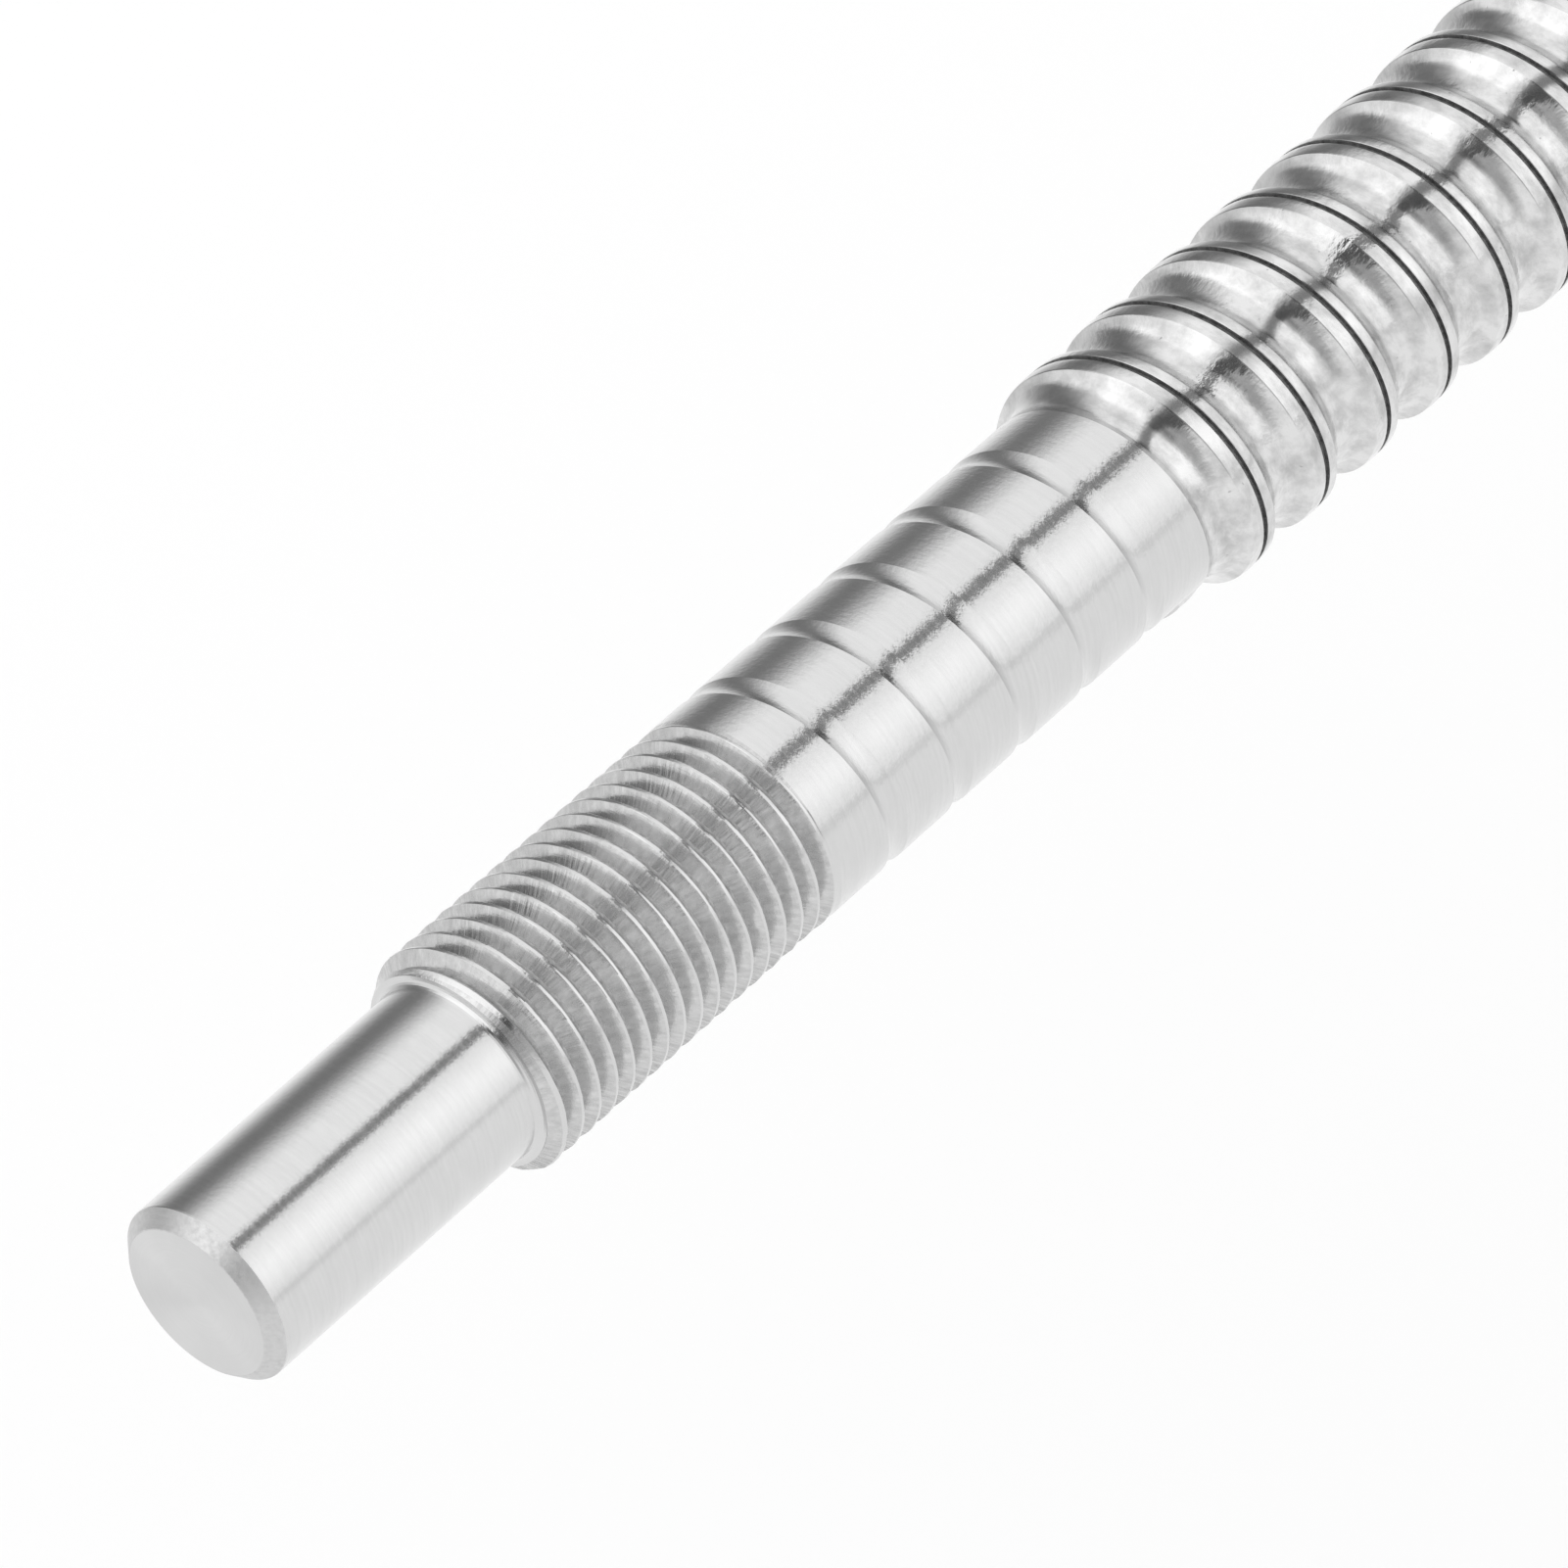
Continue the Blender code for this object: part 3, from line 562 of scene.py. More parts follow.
def return_tube(circuit):
    """The room that balls need on the return path, and a little way into the loaded groove."""
    run_in_steps, return_steps, sides = 3, 16, 16
    shares = [i / run_in_steps for i in range(run_in_steps)]
    points = [loaded_point(circuit, TURN - RETURN_HALF_ANGLE - RUN_IN * (1 - s)) for s in shares]
    points += [return_point(circuit, i / return_steps) for i in range(return_steps + 1)]
    points += [loaded_point(circuit, RETURN_HALF_ANGLE + RUN_IN * (1 - s)) for s in reversed(shares)]
    bm = bmesh.new()
    rings = []
    for i, point in enumerate(points):
        ahead = points[min(i + 1, len(points) - 1)] - points[max(i - 1, 0)]
        outward = Vector((0.0, point.y, point.z)).normalized()
        side = ahead.cross(outward).normalized()
        up = side.cross(ahead).normalized()
        ring = []
        for k in range(sides):
            a = TURN * k / sides
            ring.append(bm.verts.new(point + RETURN_PATH_R * (side * math.cos(a) + up * math.sin(a))))
        rings.append(ring)
    for here, there in zip(rings, rings[1:]):
        for k in range(sides):
            bm.faces.new((here[k], here[(k + 1) % sides], there[(k + 1) % sides], there[k]))
    bm.faces.new(rings[0])
    bm.faces.new(rings[-1])
    return finished_mesh("return_path", bm)


def build_deflectors(materials):
    """Moulded pegs with the return channel underneath and a gate dimple on top."""
    low, high = NUT_BORE_R - PAST, DEFLECTOR_OUTER_R + PAST
    c, floor = EDGE_ROUND, DEFLECTOR_OUTER_R - DIMPLE_DEPTH
    # A step around the top, where the peg is staked into its window
    ledge_r, past_r = DEFLECTOR_R - STAKED_LEDGE_W, DEFLECTOR_R + PAST
    ledge = [(floor + c, ledge_r), (floor + c, past_r), (high, past_r), (high, ledge_r)]
    for circuit in range(3):
        x, angle = deflector_at(circuit)
        middle, reach = x + LEAD / 2, DEFLECTOR_R + LEAD
        peg = rod("peg", DEFLECTOR_R, low, high, PEG_STEPS)
        rim = rod("rim", DEFLECTOR_OUTER_R, x - reach, x + 2 * reach, 180)
        bore = rod("bore", DEFLECTOR_INNER_R, x - reach, x + 2 * reach, 120)
        dimple = blind_hole("dimple", DIMPLE_R, floor, DEFLECTOR_OUTER_R, c, 32)
        staked = lathe("ledge", ledge, WINDOW_STEPS, closed_profile=True)
        cuts = [
            ("INTERSECT", rim), ("DIFFERENCE", bore), ("DIFFERENCE", return_tube(circuit)),
            ("DIFFERENCE", radially(dimple, angle, middle)), ("DIFFERENCE", radially(staked, angle, middle)),
        ]
        name = f"fine_deflector_{circuit + 1}"
        mesh = carved(name, radially(peg, angle, middle), cuts, winding=True)
        hand_in(new_object(name, mesh, materials), f"deflector_{circuit + 1}", "nut")


def build_balls(materials):
    """The balls share one mesh. Each stands where the CAD has its own."""
    bm = bmesh.new()
    bmesh.ops.create_icosphere(bm, subdivisions=4, radius=BALL_R)
    mesh = finished_mesh("fine_ball", bm)
    for m in materials:
        mesh.materials.append(m)
    for node in [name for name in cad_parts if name.startswith("ball_")]:
        low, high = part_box(node)
        ball = new_object("fine_" + node, mesh, [])
        ball.location = (low + high) / 2
        hand_in(ball, node, "nut")


def build_wiper(end, materials):
    """A ring whose lip follows the screw's groove, with three grease slots in its outer face."""
    low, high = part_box(f"wiper_{end}")
    corners = [row for row in ball_thread_corners() if row[2] == BALL]
    c = WIPER_CHAMFER

    def column(angle):
        shift = GROOVE_AT_0 + LEAD * angle / TURN
        inner = []
        for i in range(WIPER_ROWS + 1):
            x = low.x + (high.x - low.x) * i / WIPER_ROWS
            inner.append((x, radius_at(corners, LEAD, x - shift)[0] + WIPER_GAP, 0))
        lip_r = CREST_R + 2.5 * WIPER_GAP
        rim = [
            (high.x, lip_r), (high.x, WIPER_OUTER_R - c), (high.x - c, WIPER_OUTER_R),
            (low.x + c, WIPER_OUTER_R), (low.x, WIPER_OUTER_R - c), (low.x, lip_r),
        ]
        return inner + [(x, r, 0) for x, r in rim]

    ring = skin("wiper", column, RING_STEPS, closed_profile=True, sharp_above=30)
    outward = -1 if end == "front" else 1
    face = low.x if end == "front" else high.x
    half = WIPER_SLOT_W / 2
    a, b = sorted((face - outward * WIPER_SLOT_DEPTH, face + outward * PAST))
    outline = [(a, -half), (b, -half), (b, half), (a, half)]
    cuts = []
    for k in range(3):
        slot = prism("slot", outline, CREST_R + WIPER_SLOT_FROM_CREST, WIPER_OUTER_R + PAST)
        slot.transform(Matrix.Rotation(TURN * (k / 3 + 0.05), 4, "X"))
        cuts.append(("DIFFERENCE", slot))
    name = f"fine_wiper_{end}"
    obj = new_object(name, carved(name, ring, cuts), materials)
    hand_in(obj, f"wiper_{end}", "nut")


def build_retaining_ring(end, materials):
    """An open spring ring with two drilled lugs."""
    low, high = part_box(f"retaining_ring_{end}")
    x0, x1, c = low.x, high.x, RING_CHAMFER
    middle = TURN / 4
    bm = bmesh.new()
    columns = []
    for i in range(RING_STEPS + 1):
        angle = middle + RING_GAP_HALF + (TURN - 2 * RING_GAP_HALF) * i / RING_STEPS
        past_lug = abs((angle - middle + TURN / 2) % TURN - TURN / 2) - RING_GAP_HALF - LUG_HALF
        lug = 1 - eased(past_lug / LUG_BLEND + 0.5)
        r0 = RING_INNER_R + (LUG_INNER_R - RING_INNER_R) * lug
        section = [
            (x0, r0 + c), (x0 + c, r0), (x1 - c, r0), (x1, r0 + c),
            (x1, RING_OUTER_R - c), (x1 - c, RING_OUTER_R), (x0 + c, RING_OUTER_R), (x0, RING_OUTER_R - c),
        ]
        columns.append([bm.verts.new(about_axis(x, r, angle)) for x, r in section])
    for here, there in zip(columns, columns[1:]):
        for k in range(8):
            bm.faces.new((here[k], here[(k + 1) % 8], there[(k + 1) % 8], there[k]))
    bm.faces.new(columns[0])
    bm.faces.new(columns[-1])
    cuts = []
    for side in (-1, 1):
        a = middle + side * (RING_GAP_HALF + 0.5 * LUG_HALF)
        r = LUG_INNER_R + LUG_HOLE_FROM_EDGE
        drilled = hole("lug_hole", LUG_HOLE_R, x0, x1, LUG_HOLE_CHAMFER, 24)
        cuts.append(("DIFFERENCE", beside(drilled, r * math.cos(a), r * math.sin(a))))
    name = f"fine_retaining_ring_{end}"
    obj = new_object(name, carved(name, finished_mesh("ring", bm), cuts), materials)
    hand_in(obj, f"retaining_ring_{end}", "travel_rings")


def build_grease_plug(materials):
    """A threaded plug with a hexagon socket, standing in the flange's upper flat."""
    low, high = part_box("grease_plug")
    top = FLANGE_HALF_FLATS - PLUG_SUNK
    bottom = top - PLUG_L
    root_r = PLUG_R - PLUG_THREAD_DEPTH
    tip_r = root_r - PLUG_TIP_DROP
    cone_slope = (PLUG_R - tip_r) / PLUG_TIP_L
    crest, root, root_x = PLUG_CREST_HALF_W, PLUG_ROOT_HALF_W, PLUG_PITCH / 2
    profile = [(-crest, PLUG_R), (crest, PLUG_R), (root_x - root, root_r), (root_x + root, root_r)]
    thread = [(x, r, 0) for x, r in profile]
    start, end = bottom + PLUG_THREAD_INSET, top - PLUG_THREAD_INSET

    def column(angle):
        rows = [(bottom, 0.0, 0), (bottom, tip_r, 0)]
        for x, r, slot in thread_rows(thread, PLUG_PITCH, bottom, start, end, angle):
            rows.append((x, min(r, tip_r + min(x - bottom, top - x) * cone_slope), slot))
        return rows + [(top, tip_r, 0), (top, 0.0, 0)]

    plug = skin("plug", column, 64, sharp_above=30)
    corner_r = PLUG_SOCKET_AF / 2 / math.cos(TURN / 12)
    floor = top - PLUG_SOCKET_DEPTH
    socket = [(floor - PLUG_SOCKET_CONE, 0.0), (floor, corner_r), (top + PAST, corner_r), (top + PAST, 0.0)]
    above, wide = top + 0.5 * PLUG_LEAD_IN, corner_r + 0.9 * PLUG_LEAD_IN
    lead_in = [
        (top - PLUG_LEAD_IN, 0.0), (top - PLUG_LEAD_IN, corner_r - 0.6 * PLUG_LEAD_IN), (above, wide),
        (top + PAST, wide), (top + PAST, 0.0),
    ]
    cutters = lathe("socket", socket, 6), lathe("lead_in", lead_in, HOLE_STEPS)
    cuts = [("DIFFERENCE", cutter) for cutter in cutters]
    mesh = radially(carved("fine_grease_plug", plug, cuts), TURN / 4, (low.x + high.x) / 2)
    hand_in(new_object("fine_grease_plug", mesh, materials), "grease_plug", "nut")


# ---------------------------------------------------------------- materials

class Nodes:
    """A short way to write a node tree."""

    def __init__(self, tree):
        self.tree = tree
        self.shader = tree.nodes.get("Principled BSDF")

    def add(self, kind, settings=None, **inputs):
        node = self.tree.nodes.new("ShaderNode" + kind)
        for key, value in (settings or {}).items():
            setattr(node, key, value)
        for key, value in inputs.items():
            socket = node.inputs[int(key[1:])] if key[0] == "i" and key[1:].isdigit() else node.inputs[key]
            self.put(socket, value)
        return node

    def put(self, socket, value):
        if isinstance(value, bpy.types.NodeSocket):
            self.tree.links.new(value, socket)
        elif isinstance(value, bpy.types.Node):
            self.tree.links.new(value.outputs[0], socket)
        else:
            socket.default_value = value

    def math(self, operation, a, b=0.0, c=0.0):
        return self.add("Math", {"operation": operation}, i0=a, i1=b, i2=c)

    def unrolled(self, lead, scale):
        """(along, around) on the shaft's surface, in mm and following a thread, times scale."""
        axes = self.add("SeparateXYZ", Vector=self.add("TexCoord").outputs["Object"])
        x, y, z = (axes.outputs[k] for k in "XYZ")
        # The cut of the angle lies on the far side, at -60 degrees
        c, s = math.cos(math.radians(60)), math.sin(math.radians(60))
        ahead = self.math("MULTIPLY_ADD", y, -c, self.math("MULTIPLY", z, s))
        aside = self.math("MULTIPLY_ADD", z, c, self.math("MULTIPLY", y, s))
        angle = self.math("ARCTAN2", aside, ahead)
        along = self.math("MULTIPLY_ADD", angle, lead / TURN, x)
        around = self.math("MULTIPLY", angle, -JOURNAL_R)
        where = self.add("CombineXYZ", X=along, Y=around)
        return self.scaled(where, (*scale, 1.0))

    def faced(self, scale):
        """(from the axis, around) on a face turned about X, in mm times scale."""
        axes = self.add("SeparateXYZ", Vector=self.add("TexCoord").outputs["Object"])
        y, z = axes.outputs["Y"], axes.outputs["Z"]
        flat = self.add("CombineXYZ", X=0.0, Y=y, Z=z)
        out = self.add("VectorMath", {"operation": "LENGTH"}, i0=flat).outputs["Value"]
        around = self.math("MULTIPLY", self.math("ARCTAN2", z, y), JOURNAL_R)
        return self.scaled(self.add("CombineXYZ", X=out, Y=around), (*scale, 1.0))

    def plain(self, scale):
        """The object's own coordinates, in mm times scale."""
        return self.scaled(self.add("TexCoord").outputs["Object"], scale)

    def scaled(self, where, scale):
        return self.add("Mapping", Vector=where, Scale=tuple(share / MM for share in scale))

    def noise(self, where, detail=2.0, rough=0.5):
        return self.add("TexNoise", Vector=where, Scale=1.0, Detail=detail, Roughness=rough)

    def ramp(self, fac, low, high, to_low, to_high):
        return self.add("MapRange", {"clamp": True}, i0=fac, i1=low, i2=high, i3=to_low, i4=to_high)

    def bump(self, height, distance, normal=None):
        node = self.add("Bump", Height=height, Distance=distance, Strength=1.0)
        if normal is not None:
            self.put(node.inputs["Normal"], normal)
        return node

    def grey(self, value):
        return self.add("CombineColor", i0=value, i1=value, i2=value)

    def tone(self, shade, share):
        """The base colour: a grey of shade times share."""
        self.put(self.shader.inputs["Base Color"], self.grey(self.math("MULTIPLY", shade, share)))


def new_material(name):
    made = bpy.data.materials.new(name)
    made.use_nodes = True
    return made, Nodes(made.node_tree)


def ground_steel(name, shade, rough, grain, lines):
    """Turned or ground steel: fine lines around the axis, a little grain, a highlight stretched along it."""
    made, n = new_material(name)
    line = n.noise(n.unrolled(0.0, (6.0, 0.25)), 3.0, 0.6)
    speck = n.noise(n.unrolled(0.0, (6.0, 3.0)), 2.0, 0.6)
    cloud = n.noise(n.unrolled(0.0, (0.8, 0.5)), 3.0, 0.6)
    n.tone(n.ramp(cloud, 0.3, 0.7, shade * 0.97, shade), n.ramp(line, 0.3, 0.7, 0.97, 1.02))
    n.put(n.shader.inputs["Roughness"], n.ramp(speck, 0.3, 0.7, rough * 0.8, rough * 1.2))
    normal = n.bump(line, lines)
    n.put(n.shader.inputs["Normal"], n.bump(speck, grain, normal))
    n.put(n.shader.inputs["Tangent"], n.add("Tangent", {"direction_type": "RADIAL", "axis": "X"}))
    set_inputs(n, {"Metallic": 1.0, "Anisotropic": 0.6, "Anisotropic Rotation": 0.25})
    return made


def faced_steel(name, shade, rough, lines):
    """A turned end face: rings around the axis, and a highlight stretched across them."""
    made, n = new_material(name)
    ring = n.noise(n.faced((8.0, 0.12)), 4.0, 0.65)
    cloud = n.noise(n.plain((0.35, 0.35, 0.35)), 3.0, 0.5)
    n.tone(n.ramp(cloud, 0.3, 0.7, shade * 0.95, shade * 1.03), n.ramp(ring, 0.3, 0.7, 0.97, 1.02))
    n.put(n.shader.inputs["Roughness"], n.ramp(ring, 0.3, 0.7, rough * 0.9, rough * 1.1))
    n.put(n.shader.inputs["Normal"], n.bump(ring, lines))
    n.put(n.shader.inputs["Tangent"], n.add("Tangent", {"direction_type": "RADIAL", "axis": "X"}))
    set_inputs(n, {"Metallic": 1.0, "Anisotropic": 0.5, "Anisotropic Rotation": 0.25})
    return made


def milled_steel(name, shade, rough):
    """A flat milled along X: long straight lines."""
    made, n = new_material(name)
    line = n.noise(n.plain((0.15, 7.0, 0.15)), 4.0, 0.6)
    cloud = n.noise(n.plain((0.3, 0.3, 0.3)), 3.0, 0.5)
    n.tone(n.ramp(cloud, 0.3, 0.7, shade * 0.95, shade), n.ramp(line, 0.3, 0.7, 0.96, 1.03))
    n.put(n.shader.inputs["Roughness"], n.ramp(line, 0.3, 0.7, rough * 0.9, rough * 1.1))
    n.put(n.shader.inputs["Normal"], n.bump(line, 0.004 * MM))
    set_inputs(n, {"Metallic": 1.0})
    return made


def rolled_steel(name, shade, rough):
    """The rolled ball thread: polished, with pebbled patches, small pits and streaks along the groove."""
    made, n = new_material(name)
    streak = n.noise(n.unrolled(LEAD, (5.0, 0.6)), 3.0, 0.6)
    pebble = n.noise(n.unrolled(LEAD, (4.0, 4.0)), 2.0, 0.5)
    where = n.noise(n.unrolled(LEAD, (0.45, 0.22)), 2.0, 0.5)
    patch = n.ramp(where, 0.45, 0.60, 0.12, 1.0)
    pit = n.ramp(n.noise(n.unrolled(LEAD, (4.0, 4.0)), 1.0, 0.5), 0.20, 0.24, 1.0, 0.0)
    cloud = n.noise(n.unrolled(LEAD, (1.1, 0.6)), 5.0, 0.65)
    n.tone(n.ramp(cloud, 0.34, 0.60, shade * 0.68, shade), n.ramp(pit, 0.0, 1.0, 1.0, 0.7))
    n.put(n.shader.inputs["Roughness"], n.ramp(cloud, 0.3, 0.7, rough * 1.6, rough * 0.7))
    normal = n.bump(streak, 0.005 * MM)
    normal = n.bump(n.math("MULTIPLY", pebble, patch), 0.016 * MM, normal)
    n.put(n.shader.inputs["Normal"], n.bump(pit, -0.004 * MM, normal))
    set_inputs(n, {"Metallic": 1.0})
    return made


def cut_thread_steel(name, shade, rough):
    """The cut thread: torn flanks, with chatter marks that run down them."""
    made, n = new_material(name)
    streak = n.noise(n.unrolled(FINE_PITCH, (6.0, 0.8)), 3.0, 0.6)
    chatter = n.noise(n.unrolled(FINE_PITCH, (1.0, 5.0)), 2.0, 0.5)
    where = n.noise(n.unrolled(FINE_PITCH, (0.3, 0.22)), 2.0, 0.5)
    height = n.add("SeparateXYZ", Vector=n.add("TexCoord").outputs["Object"]).outputs["Z"]
    underside = n.ramp(height, 0.0, -3.0 * MM, 0.0, 1.0)
    patch = n.math("MAXIMUM", n.ramp(where, 0.45, 0.65, 0.08, 0.5), underside)
    cloud = n.noise(n.unrolled(FINE_PITCH, (2.5, 2.5)), 5.0, 0.7)
    # Below the axis the chatter ribs also darken the colour, more towards the underside
    rib = n.math("MULTIPLY", n.ramp(chatter, 0.38, 0.58, 0.0, 1.0), underside)
    n.tone(n.ramp(cloud, 0.35, 0.65, shade * 0.80, shade), n.math("MULTIPLY_ADD", rib, -0.30, 1.05))
    n.put(n.shader.inputs["Roughness"], n.ramp(cloud, 0.3, 0.7, rough * 1.3, rough * 0.8))
    normal = n.bump(streak, 0.010 * MM)
    n.put(n.shader.inputs["Normal"], n.bump(n.math("MULTIPLY", chatter, patch), 0.10 * MM, normal))
    set_inputs(n, {"Metallic": 1.0})
    return made


def groove_dirt_and_shade_steel(name, dark, light, lead):
    """Steel at the bottom of a narrow groove, painted dark grey: painted shade of the narrow recess, with
    grit; in the rolling seam partly also oil and dirt.
    """
    made, n = new_material(name)
    grit = n.noise(n.unrolled(lead, (7.0, 3.0)), 4.0, 0.7)
    # The dark grey base colour is painted shade of the groove's bottom, with some oil and dirt in the seam
    n.put(n.shader.inputs["Base Color"], n.grey(n.ramp(grit, 0.35, 0.65, dark, light)))
    n.put(n.shader.inputs["Normal"], n.bump(grit, 0.02 * MM))
    set_inputs(n, {"Metallic": 0.5, "Roughness": 0.5})
    return made


def polished_steel(name, shade, rough):
    """Balls: mirror bright, with hardly any cloudiness."""
    made, n = new_material(name)
    cloud = n.noise(n.plain((0.9, 0.9, 0.9)), 3.0, 0.6)
    n.put(n.shader.inputs["Base Color"], n.grey(n.ramp(cloud, 0.3, 0.7, shade * 0.96, shade)))
    n.put(n.shader.inputs["Roughness"], n.ramp(cloud, 0.3, 0.7, rough * 1.3, rough * 0.7))
    set_inputs(n, {"Metallic": 1.0})
    return made


def blackened_steel(name, shade, rough):
    """Spring rings and plug: dark oxide, slightly mottled."""
    made, n = new_material(name)
    cloud = n.noise(n.plain((1.6, 1.6, 1.6)), 4.0, 0.6)
    n.put(n.shader.inputs["Base Color"], n.grey(n.ramp(cloud, 0.3, 0.7, shade * 0.7, shade * 1.3)))
    n.put(n.shader.inputs["Roughness"], n.ramp(cloud, 0.3, 0.7, rough * 1.2, rough * 0.8))
    n.put(n.shader.inputs["Normal"], n.bump(cloud, 0.01 * MM))
    set_inputs(n, {"Metallic": 0.9})
    return made


def resin(name, colour, rough, grain):
    """Moulded resin with a fine spark-eroded grain."""
    made, n = new_material(name)
    fine = n.noise(n.plain((2.5, 2.5, 2.5)), 3.0, 0.6)
    low, high = (tuple(v * share for v in colour) for share in (0.93, 1.05))
    tint = n.add("Mix", {"data_type": "RGBA"}, Factor=n.ramp(fine, 0.3, 0.7, 0.0, 1.0))
    tint.inputs[6].default_value, tint.inputs[7].default_value = (*low, 1.0), (*high, 1.0)
    n.put(n.shader.inputs["Base Color"], tint.outputs[2])
    n.put(n.shader.inputs["Roughness"], n.ramp(fine, 0.3, 0.7, rough * 0.9, rough * 1.1))
    n.put(n.shader.inputs["Normal"], n.bump(fine, grain))
    set_inputs(n, {"Metallic": 0.0, "Specular IOR Level": 0.4})
    return made


def set_inputs(n, values):
    for key, value in values.items():
        n.shader.inputs[key].default_value = value


# ---------------------------------------------------------------- light, floor, camera

# What the steel mirrors. Each patch is (radiance added, angle about the screw's axis in degrees, its half
# width, its soft edge, position along the axis, its half width, its soft edge). The position along the axis
# is the x of the mirrored direction; the angle goes from +Y towards +Z.
STUDIO_BASE, STUDIO_DARKEST, PLAIN_WHITE = 1.05, 0.08, 1.1
STUDIO_PATCHES = (
    (0.33, 141, 0, 40, 0.30, 0.25, 0.75),  # the key light overhead
    (0.12, 75, 15, 30, 0.30, 0.60, 0.60),  # the fill light behind
    (0.42, 60, 20, 35, -0.85, 0.30, 0.35),
    (-0.82, 14, 4, 46, 0.20, 0.55, 0.30),  # the dark room above the back of the table
    (-0.55, 142, 12, 48, -0.78, 0.20, 0.45),  # the dark room behind the photographer
    (-0.25, 118, 4, 14, -0.50, 0.10, 0.20),
    (-0.22, 176.5, 0.5, 5.0, 0.40, 0.60, 0.30),  # the edge of the key light
    (-0.38, 90, 180, 1, 1.00, 0.02, 0.30),  # the lights end beyond the far end
)
# The dark gap between the two lights: a straight one, so a great circle of directions
GAP_ANGLE, GAP_LEAN, GAP_HALF_WIDTH, GAP_SOFT, GAP_DEPTH = 104.5, 0.08, 0.052, 0.080, 0.88


def build_world():
    """A white studio for the steel to mirror. The camera itself sees plain white."""
    world = bpy.data.worlds.new("studio")
    bpy.context.scene.world = world
    world.use_nodes = True
    world.node_tree.nodes.clear()
    n = Nodes(world.node_tree)
    axes = n.add("SeparateXYZ", Vector=n.add("TexCoord").outputs["Generated"])
    x, y, z = (axes.outputs[k] for k in "XYZ")
    # The angle about the axis, from -90 to 270 degrees
    turned = n.math("ARCTAN2", n.math("MULTIPLY", y, -1.0), z)
    angle = n.math("ADD", n.math("DEGREES", turned), 90.0)

    def soft_band(value, middle, half, soft):
        away = n.math("ABSOLUTE", n.math("SUBTRACT", value, middle))
        smooth = {"interpolation_type": "SMOOTHSTEP"}
        return n.add("MapRange", smooth, i0=away, i1=half, i2=half + soft, i3=1.0, i4=0.0)

    total = STUDIO_BASE
    for radiance, middle, half, soft, along, along_half, along_soft in STUDIO_PATCHES:
        around = soft_band(angle, middle, half, soft)
        patch = n.math("MULTIPLY", around, soft_band(x, along, along_half, along_soft))
        total = n.math("MULTIPLY_ADD", patch, radiance, total)
    a = math.radians(GAP_ANGLE)
    across = n.math("MULTIPLY_ADD", z, math.cos(a), n.math("MULTIPLY", y, -math.sin(a)))
    across = n.math("MULTIPLY_ADD", x, GAP_LEAN, across)
    overhead = n.math("GREATER_THAN", z, 0.0)
    gap = n.math("MULTIPLY", soft_band(across, 0.0, GAP_HALF_WIDTH, GAP_SOFT), overhead)
    total = n.math("MULTIPLY_ADD", gap, -GAP_DEPTH, total)
    total = n.math("MAXIMUM", total, STUDIO_DARKEST)
    mirrored = n.add("Background", Color=(1.0, 1.0, 1.0, 1.0), Strength=total)
    plain = n.add("Background", Color=(1.0, 1.0, 1.0, 1.0), Strength=PLAIN_WHITE)
    path = n.add("LightPath")
    mix = n.add("MixShader", i0=path.outputs["Is Glossy Ray"], i1=plain, i2=mirrored)
    n.add("OutputWorld", Surface=mix)


def build_floor():
    bm = bmesh.new()
    bmesh.ops.create_grid(bm, x_segments=1, y_segments=1, size=FLOOR_HALF_SIZE)
    floor = new_object("floor", finished_mesh("floor", bm), [])
    paper, n = new_material("floor_paper")
    white = (0.92, 0.92, 0.92, 1.0)
    set_inputs(n, {"Base Color": white, "Roughness": 0.9, "Specular IOR Level": 0.0})
    floor.data.materials.append(paper)
    floor.location.z = FLOOR_Z
    floor.visible_glossy = False


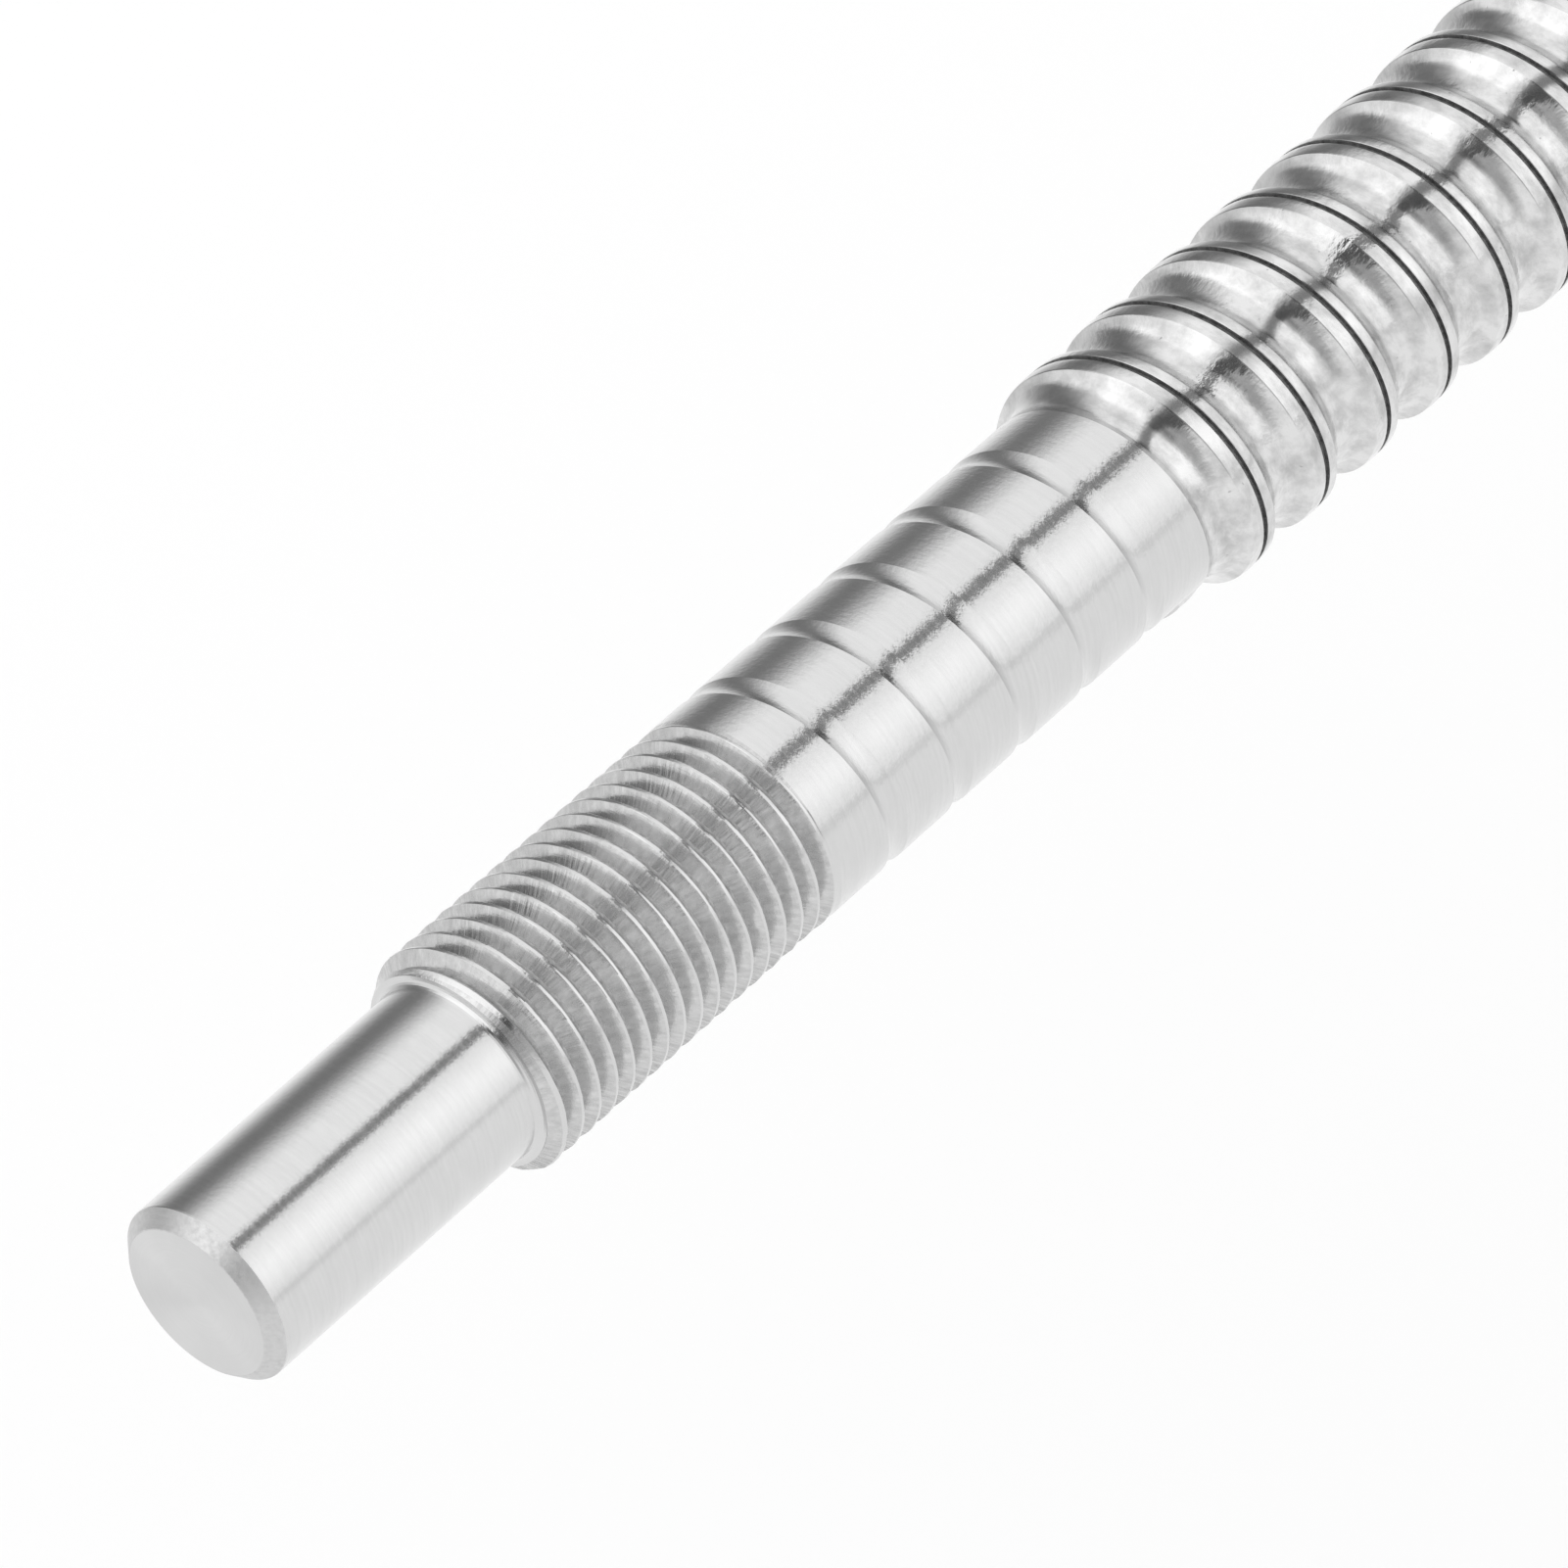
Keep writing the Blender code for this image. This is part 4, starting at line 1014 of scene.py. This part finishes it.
def build_camera():
    data = bpy.data.cameras.new("camera")
    data.lens = FOCAL_LENGTH
    data.sensor_width = SENSOR_WIDTH
    data.clip_start, data.clip_end = CAMERA_CLIP
    camera = bpy.data.objects.new("camera", data)
    bpy.context.scene.collection.objects.link(camera)
    up = CAMERA_RIGHT.cross(CAMERA_AHEAD)
    turned = Matrix((CAMERA_RIGHT, up, -CAMERA_AHEAD)).transposed()
    camera.matrix_world = Matrix.Translation(CAMERA_AT) @ turned.to_4x4()
    bpy.context.scene.camera = camera


def main():
    bpy.context.scene.view_settings.view_transform = "Standard"
    build_camera()
    build_world()
    build_floor()
    face = faced_steel("faced_steel", 0.67, 0.36, 0.004 * MM)
    chamfer = ground_steel("chamfer_steel", 0.66, 0.50, 0.010 * MM, 0.010 * MM)
    seat = ground_steel("ground_steel", 0.66, 0.19, 0.005 * MM, 0.003 * MM)
    fine = cut_thread_steel("cut_thread_steel", 0.62, 0.24)
    # The fine thread's narrow root: a dark grey that is painted shade of the deep root
    root = groove_dirt_and_shade_steel("thread_root_painted_shade", 0.30, 0.50, FINE_PITCH)
    journal = ground_steel("turned_steel", 0.66, 0.19, 0.011 * MM, 0.004 * MM)
    ball = rolled_steel("rolled_steel", 0.71, 0.12)
    # The rolling seam's channel: a near black that is partly its oil and dirt, partly painted shade of the
    # narrow channel
    seam = groove_dirt_and_shade_steel("rolling_seam_dirt_and_shade", 0.08, 0.22, LEAD)
    build_shaft([face, chamfer, seat, fine, root, journal, ball, seam])
    nut_faced = faced_steel("nut_faced_steel", 0.58, 0.32, 0.004 * MM)
    nut_milled = milled_steel("nut_milled_steel", 0.57, 0.34)
    nut_ground = ground_steel("nut_ground_steel", 0.56, 0.24, 0.008 * MM, 0.008 * MM)
    nut_raceway = rolled_steel("nut_raceway_steel", 0.58, 0.16)
    build_nut([nut_faced, nut_milled, nut_ground, nut_raceway])
    build_balls([polished_steel("ball_chrome_steel", 0.72, 0.07)])
    build_deflectors([resin("deflector_resin", (0.045, 0.045, 0.048), 0.45, 0.006 * MM)])
    wiper = resin("wiper_resin", (0.78, 0.77, 0.72), 0.5, 0.004 * MM)
    spring = blackened_steel("ring_spring_steel", 0.16, 0.38)
    for end in ("front", "rear"):
        build_wiper(end, [wiper])
        build_retaining_ring(end, [spring])
    build_grease_plug([blackened_steel("plug_steel", 0.12, 0.42)])
    # The CAD's own meshes, which the fine ones replace
    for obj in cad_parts.values():
        for i in range(len(obj.material_slots)):
            obj.material_slots[i].material = seat


main()
